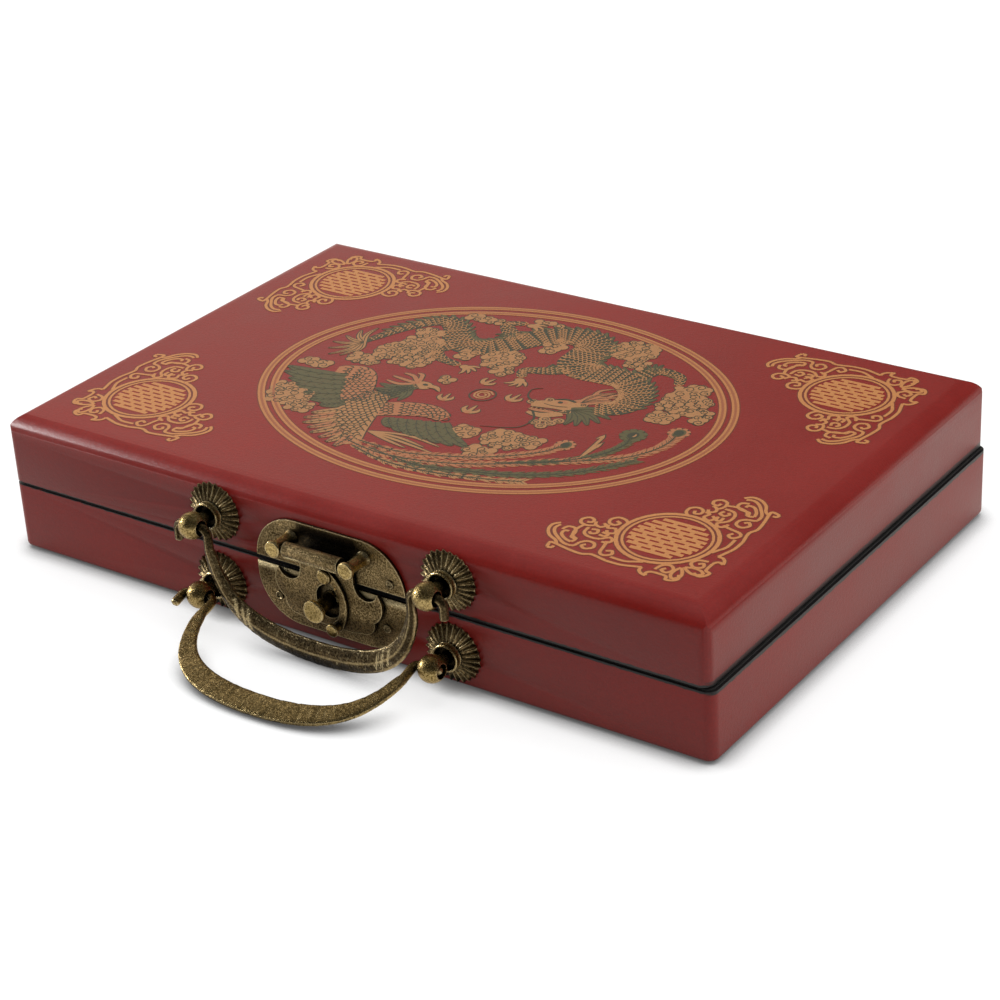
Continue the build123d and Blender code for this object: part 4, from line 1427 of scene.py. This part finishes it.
def plume_eye(palette, ink, middle, size):
    """Petals round rings of green, dark and gold."""
    for lobe in range(9):
        rise = swung(at(1, 0), 2 * pi * lobe / 9) * size
        petal = [middle, middle + rise * 0.6, middle + rise]
        palette.outlined(ink, petal, 0.8, size * 0.5, size * 0.3, 2)
    palette.spot(palette.green, middle, size * 0.62, size * 0.72)
    palette.line.oval(middle, size * 0.42, size * 0.5)
    palette.glint.oval(middle, size * 0.24, size * 0.28)


def claw(palette, x, y, angle, reach=5.2):
    """A foot with four hooked toes."""
    foot = at(x, y)
    palette.spot(palette.gold, foot, 1.7, 1.4)
    for toe in (-1.5, -0.5, 0.5, 1.5):
        out = swung(at(1, 0), radians(angle) + toe * 0.55)
        hook = swung(out, -0.7)
        tip = foot + out * reach * 0.7 + hook * 2.0
        palette.outlined(palette.gold, [foot, foot + out * reach * 0.6, tip], 1.2, 1.1, 0.1)


DRAGON_SPINE = (
    (-61.5, 12.4), (-59.8, 18.1), (-56.6, 27.4), (-52.0, 35.5), (-46.5, 39.5), (-40.7, 36.6),
    (-36.1, 30.3), (-30.3, 26.2), (-23.4, 27.4), (-17.0, 34.3), (-11.2, 43.0), (-3.7, 48.2),
    (3.8, 49.0), (9.0, 44.6), (10.0, 37.8), (10.6, 32.0), (15.5, 28.2), (22.9, 28.2),
    (31.5, 28.0), (38.0, 23.3), (41.2, 17.0), (40.4, 10.0), (35.0, 6.2),
)
DRAGON_WIDTHS = (1.6, 12.6, 8.6)
DRAGON_LEGS = (  # joints from hip to wrist, then the foot's place and where its toes point
    (((-32, 26), (-36, 19), (-31, 14), (-23, 12.5)), (-20, 12, -15)),
    (((13, 28), (6, 22.5), (-1, 19.0), (0.5, 14.5)), (1.6, 12.0, -70)),
    (((33, 30), (37, 38.5), (45, 38), (48, 33)), (49.5, 31.0, -35)),
    (((-15, 38), (-22, 41.5), (-27, 47), (-22, 50)), (-19, 49.5, 20)),
)
DRAGON_HORNS = (
    ((25.5, 6.5), (29, 11), (28.6, 17), (32, 20.5)),
    ((29, 7), (33, 10.5), (34, 16), (37.4, 19)),
)
TAIL_WISPS = ((-70, 14), (-71, 8), (-69, 3), (-66, -1), (-62, 0), (-59, 4), (-68, 20), (-64, 24))
MANE = ((41.5, 5.5), (42.5, 1.5), (41, -2.5), (38.5, -5.5), (35.5, -7.5), (32, -8.5))
EAR_TUFT = ((37, 16), (34, 18.5), (31, 16.5), (39.5, 12), (36, 13))


def dragon(palette):
    """A scaled dragon that arches over the top of the oval and looks down to the left."""
    spikes(palette, palette.gold, DRAGON_SPINE[0], TAIL_WISPS, 1.7)
    for joints, (x, y, angle) in DRAGON_LEGS:
        scaled(palette, joints, (7.0, 4.4, 2.6), palette.ground, palette.glint, 1.4)
        elbow, wrist = at(*joints[1]), at(*joints[3])
        away = (elbow - wrist).normalized()
        turns = (-0.9, -0.45, 0.0, 0.45, 0.9)
        tips = [elbow + swung(away, turn) * (6.5 - abs(turn) * 1.5) for turn in turns]
        spikes(palette, palette.green, elbow, tips, 1.5)
        claw(palette, x, y, angle)
    run, widths = scaled(palette, DRAGON_SPINE, DRAGON_WIDTHS, palette.ground, palette.glint, 1.55, 10)
    dragon_fins(palette, run, widths)
    dragon_belly(palette, run, widths)
    dragon_head(palette)


def dragon_fins(palette, run, widths):
    """Short pointed fins that lean back along the spine."""
    for spot, along, width in list(zip(run, tangents(run), widths))[16:-14:3]:
        outwards = swung(along, pi / 2)
        root = spot + outwards * width * 0.45
        tip = root + outwards * 2.2 - along * 1.4
        fin = [root + along * 0.8, root.lerp(tip, 0.5) + along * 0.5, tip]
        palette.outlined(palette.green, fin, 1.5, 1.0, 0.15, 2)


def dragon_belly(palette, run, widths):
    """Gold cross plates along the inner edge of the neck."""
    first = round(len(run) * 0.66)
    for spot, along, width in list(zip(run, tangents(run), widths))[first:-4:2]:
        inner = swung(along, -pi / 2)
        edge = spot + inner * width * 0.52
        palette.glint.stroke([edge, edge - inner * 1.9 + along * 0.5], [0.85, 0.6])


def dragon_head(palette):
    """Horned head with an open jaw, a mane, a fan of beard and long whiskers."""
    gold, rust, line = palette.gold, palette.rust, palette.line
    spikes(palette, rust, (28, 7), EAR_TUFT, 2.3)
    spikes(palette, palette.green, (28, 1.5), MANE, 3.0)
    for x, y in ((24.5, -8), (27.5, -9.5), (23, -11), (26, -12.5), (29, -7)):
        palette.spot(gold, at(x, y), 1.9, 1.7)
        line.curl(at(x, y), 1.4, FINE, x, 1.3)
    # jaw, tongue and skull
    palette.outlined(gold, ((27, -2), (22, -6), (16.5, -6)), 3.6, 3.0, 1.2)
    palette.outlined(rust, ((24, -2), (19.5, -3.6), (15.5, -3.8)), 1.3, 1.5, 0.4)
    palette.outlined(gold, ((31, 4), (23, 3), (14.5, -0.6)), 8.4, 6.6, 3.2)
    # nose, brow and cheeks
    for x, y, size in ((14.0, 0.8, 1.7), (18.2, 4.4, 1.5), (27.5, -0.5, 1.6), (29.5, 6.0, 1.5)):
        palette.spot(gold, at(x, y), size, size * 0.9)
        line.curl(at(x, y), size * 0.7, FINE, y, 1.2)
    # the eye, its lid, the lip and a fold along the snout
    palette.spot(rust, at(22.6, 4.6), 1.9, 1.2, 0.3)
    line.oval(at(22.2, 4.3), 0.9, 0.75)
    line.brush(((26.5, 6.6), (22.4, 7.0), (19.4, 5.0)), 1.0, 0.8, 0.2)
    line.brush(((28, -1.2), (22, -1.9), (15.4, -2.4)), 0.5, 0.45, 0.2)
    line.brush(((26, 2.5), (22, 1.2), (18, 1.4)), 0.4, 0.35, 0.2)
    for tooth in (16.4, 17.9, 19.4, 20.9):
        bite = ((tooth, -2.2), (tooth - 0.1, -2.9), (tooth - 0.2, -3.7))
        palette.glint.brush(bite, 0.7, 0.5, 0.1, 2)
    for horn in DRAGON_HORNS:
        palette.outlined(rust, horn, 2.0, 1.5, 0.15)
    # whiskers
    line.brush(((18, -5), (21.5, -10), (20, -17), (9.5, -21.5)), 0.8, 0.6, 0.15, 6)
    line.brush(((14, 1), (10.5, 3.5), (9, 8), (11.5, 10.5)), 0.7, 0.5, 0.15, 6)


# Tail plumes: which ink, how long the barbs are, the size of the eye and where the quill runs.
PLUMES = (
    ("gold", 2.6, None, ((-17.6, -51.2), (-1.4, -55.2), (15.9, -54.2), (33.3, -49.8), (42, -46.5))),
    ("green", 3.0, None, (
        (-12, -50), (8, -52.5), (25.2, -48.3), (39, -43.3), (50.6, -35.7), (58.7, -27), (64, -19),
    )),
    ("rust", 3.2, 3.6, (
        (-21, -49), (-8, -51.5), (6, -50), (18.5, -46), (29, -40.5), (40.5, -33), (51, -26),
        (60, -19), (65, -11), (66.6, -4), (66.2, 1),
    )),
    ("rust", 3.0, 3.4, (
        (-18, -47.5), (-2, -48), (10, -44.5), (21.5, -39.5), (31, -32.7), (36.7, -26.9), (39, -22.3),
    )),
    ("green", 2.6, 4.4, ((28, -40), (38, -34.5), (47, -27.5), (53, -20), (55.6, -12), (55, -7))),
)
LOOSE_BARBS = ((7, -39.5), (3, -42), (8, -44), (-2, -45), (46, -12), (49.5, -17))
SKIRT = (
    (-43, -39), (-43, -43), (-41, -46), (-37.5, -48), (-34.5, -50.5), (-30, -52), (-26, -53.5),
    (-22, -54.5),
)
LEFT_WING = (
    (-72, -14.5), (-70.5, -18), (-66, -21.4), (-61, -24.6), (-55, -27.8), (-50, -31), (-44.5, -33),
)
RIGHT_WING = (
    (14.8, -35.6), (10.1, -37), (5.5, -37.4), (0.3, -37.6), (-4.9, -37.4), (-9.5, -36.6),
    (-14.1, -35.4),
)
RUFF = ((-37, -11), (-36.5, -15), (-34, -19), (-29.5, -21.5), (-24, -19))
CREST = ((-36.5, -4.5), (-34.5, -1.0), (-30.5, 0.8), (-36.5, -8))


def phoenix(palette):
    """A phoenix that rises from the lower left, wings spread, its tail sweeping round to the right."""
    gold, green, rust, line = palette.gold, palette.green, palette.rust, palette.line
    for ink, reach, eye, points in PLUMES:
        plume(palette, getattr(palette, ink), points, reach, eye)
    for x, y in LOOSE_BARBS:
        start = (-19, -41) if x < 20 else (48.5, -25)
        palette.outlined(gold, (start, ((x + start[0]) / 2, y + 1.8), (x, y)), 0.5, 1.1, 0.15)
    feathers(palette, (gold, rust), (-36, -32), (-22, -46), SKIRT, 2.6, 0.05)
    feathers(palette, (green,), (-50, -12), (-38, -28), LEFT_WING, 4.0, 0.06)
    feathers(palette, (green,), (-1.4, -25), (-19, -30), RIGHT_WING, 3.4, -0.08)
    left_arm = ((-55.5, -10), (-48, -8.5), (-42, -16), (-37, -25))
    scaled(palette, left_arm, (6, 11, 8), rust, line, 2.0)
    right_arm = ((-27, -28), (-20, -23.5), (-10.7, -20.6), (-3, -22.6))
    scaled(palette, right_arm, (8, 9, 4), rust, line, 2.0)
    body = ((-18, -50.5), (-24.5, -43), (-29.5, -34), (-32.5, -24), (-32, -17))
    scaled(palette, body, (4, 13.5, 8), gold, line, 2.0)
    spikes(palette, green, (-27, -9.5), RUFF, 3.0)
    neck = ((-31, -19), (-29, -13), (-25.5, -8))
    scaled(palette, neck, (8, 5.4, 3.8), green, line, 1.4)
    for x, y in CREST:
        palette.outlined(rust, ((-26, -5.5), ((x - 26) / 2, y - 0.6), (x, y)), 1.2, 1.4, 0.5)
    # head, beak and eye
    palette.spot(gold, at(-23.8, -5.9), 3.6, 2.7)
    palette.outlined(gold, ((-22, -5.4), (-18.6, -5.4), (-16.2, -7.4)), 2.2, 1.6, 0.15)
    line.oval(at(-23.2, -5.2), 1.0, 0.7)
    line.brush(((-21.4, -6.6), (-19, -6.6), (-17, -7.5)), 0.35, 0.35, 0.15)


CLOUDS = (  # middle, half width and half height
    (-46, 29, 5, 4), (-43.5, 19.5, 7, 7), (-40, 10, 8.5, 6.5), (-50, 11.5, 4.5, 5.5),
    (-53, 1.5, 6.5, 3), (-65.5, -8, 6, 2.4), (-36, 46.8, 6.5, 2.6), (-15, 54, 5, 1.6),
    (22, 48.5, 8, 6.5), (28, 40, 4, 3.4), (-3, 39.5, 3.4, 5.5), (-12.5, 22.5, 6.5, 6.5),
    (-8, 15.5, 3.4, 3.6), (55.5, 31.5, 4.4, 3), (57, 21.5, 8.6, 7.4), (55.5, 10, 4.4, 3.4),
    (-19.4, 1, 3, 2.4), (-62.5, -27.5, 4.6, 4), (-57, -32.5, 7.5, 5.4), (-49, -37, 4.4, 4),
    (7.5, -27, 4, 3.6), (21.5, -26, 7.6, 5.6), (29, -23.5, 4, 4), (19.5, -36.5, 4.8, 3),
    (66.5, 16, 2.6, 5), (-25, 20, 3, 3),
)
FLAMES = (  # place, size and lean
    (-7.2, 4.4, 3.4, 0.3),
    (7.3, -2, 3.6, 0.1),
    (-11.8, -11.6, 3.4, -0.1),
    (0.3, -15.4, 3.8, 0.0),
)


def sky(palette):
    """Cloud banks, the pearl between dragon and phoenix, and the flames that fly round it."""
    for index, (x, y, width, height) in enumerate(CLOUDS):
        cloud(palette, x, y, width, height, index * 0.9)
    pearl = at(-2.6, -2.7)
    ring = [pearl + at(cos(turn), sin(turn)) * 4.3 for turn in ROUND]
    palette.line.stroke(ring, 0.5, True)
    palette.glint.curl(pearl, 3.4, 0.7, 0.5, 2.2, 1, 20)
    for x, y, size, lean in FLAMES:
        flame(palette, x, y, size, lean)


def lid_print():
    """Rings, corner ornaments and the picture, pressed colour by colour."""
    palette = Palette()
    oval_border(palette)
    for side in (-1, 1):
        for depth in (-1, 1):
            corner_ornament(palette, side, depth)
    sky(palette)
    phoenix(palette)
    dragon(palette)
    palette.press()


box_shell()
eyes()
lock()
handles()
back_hinges()
lid_print()
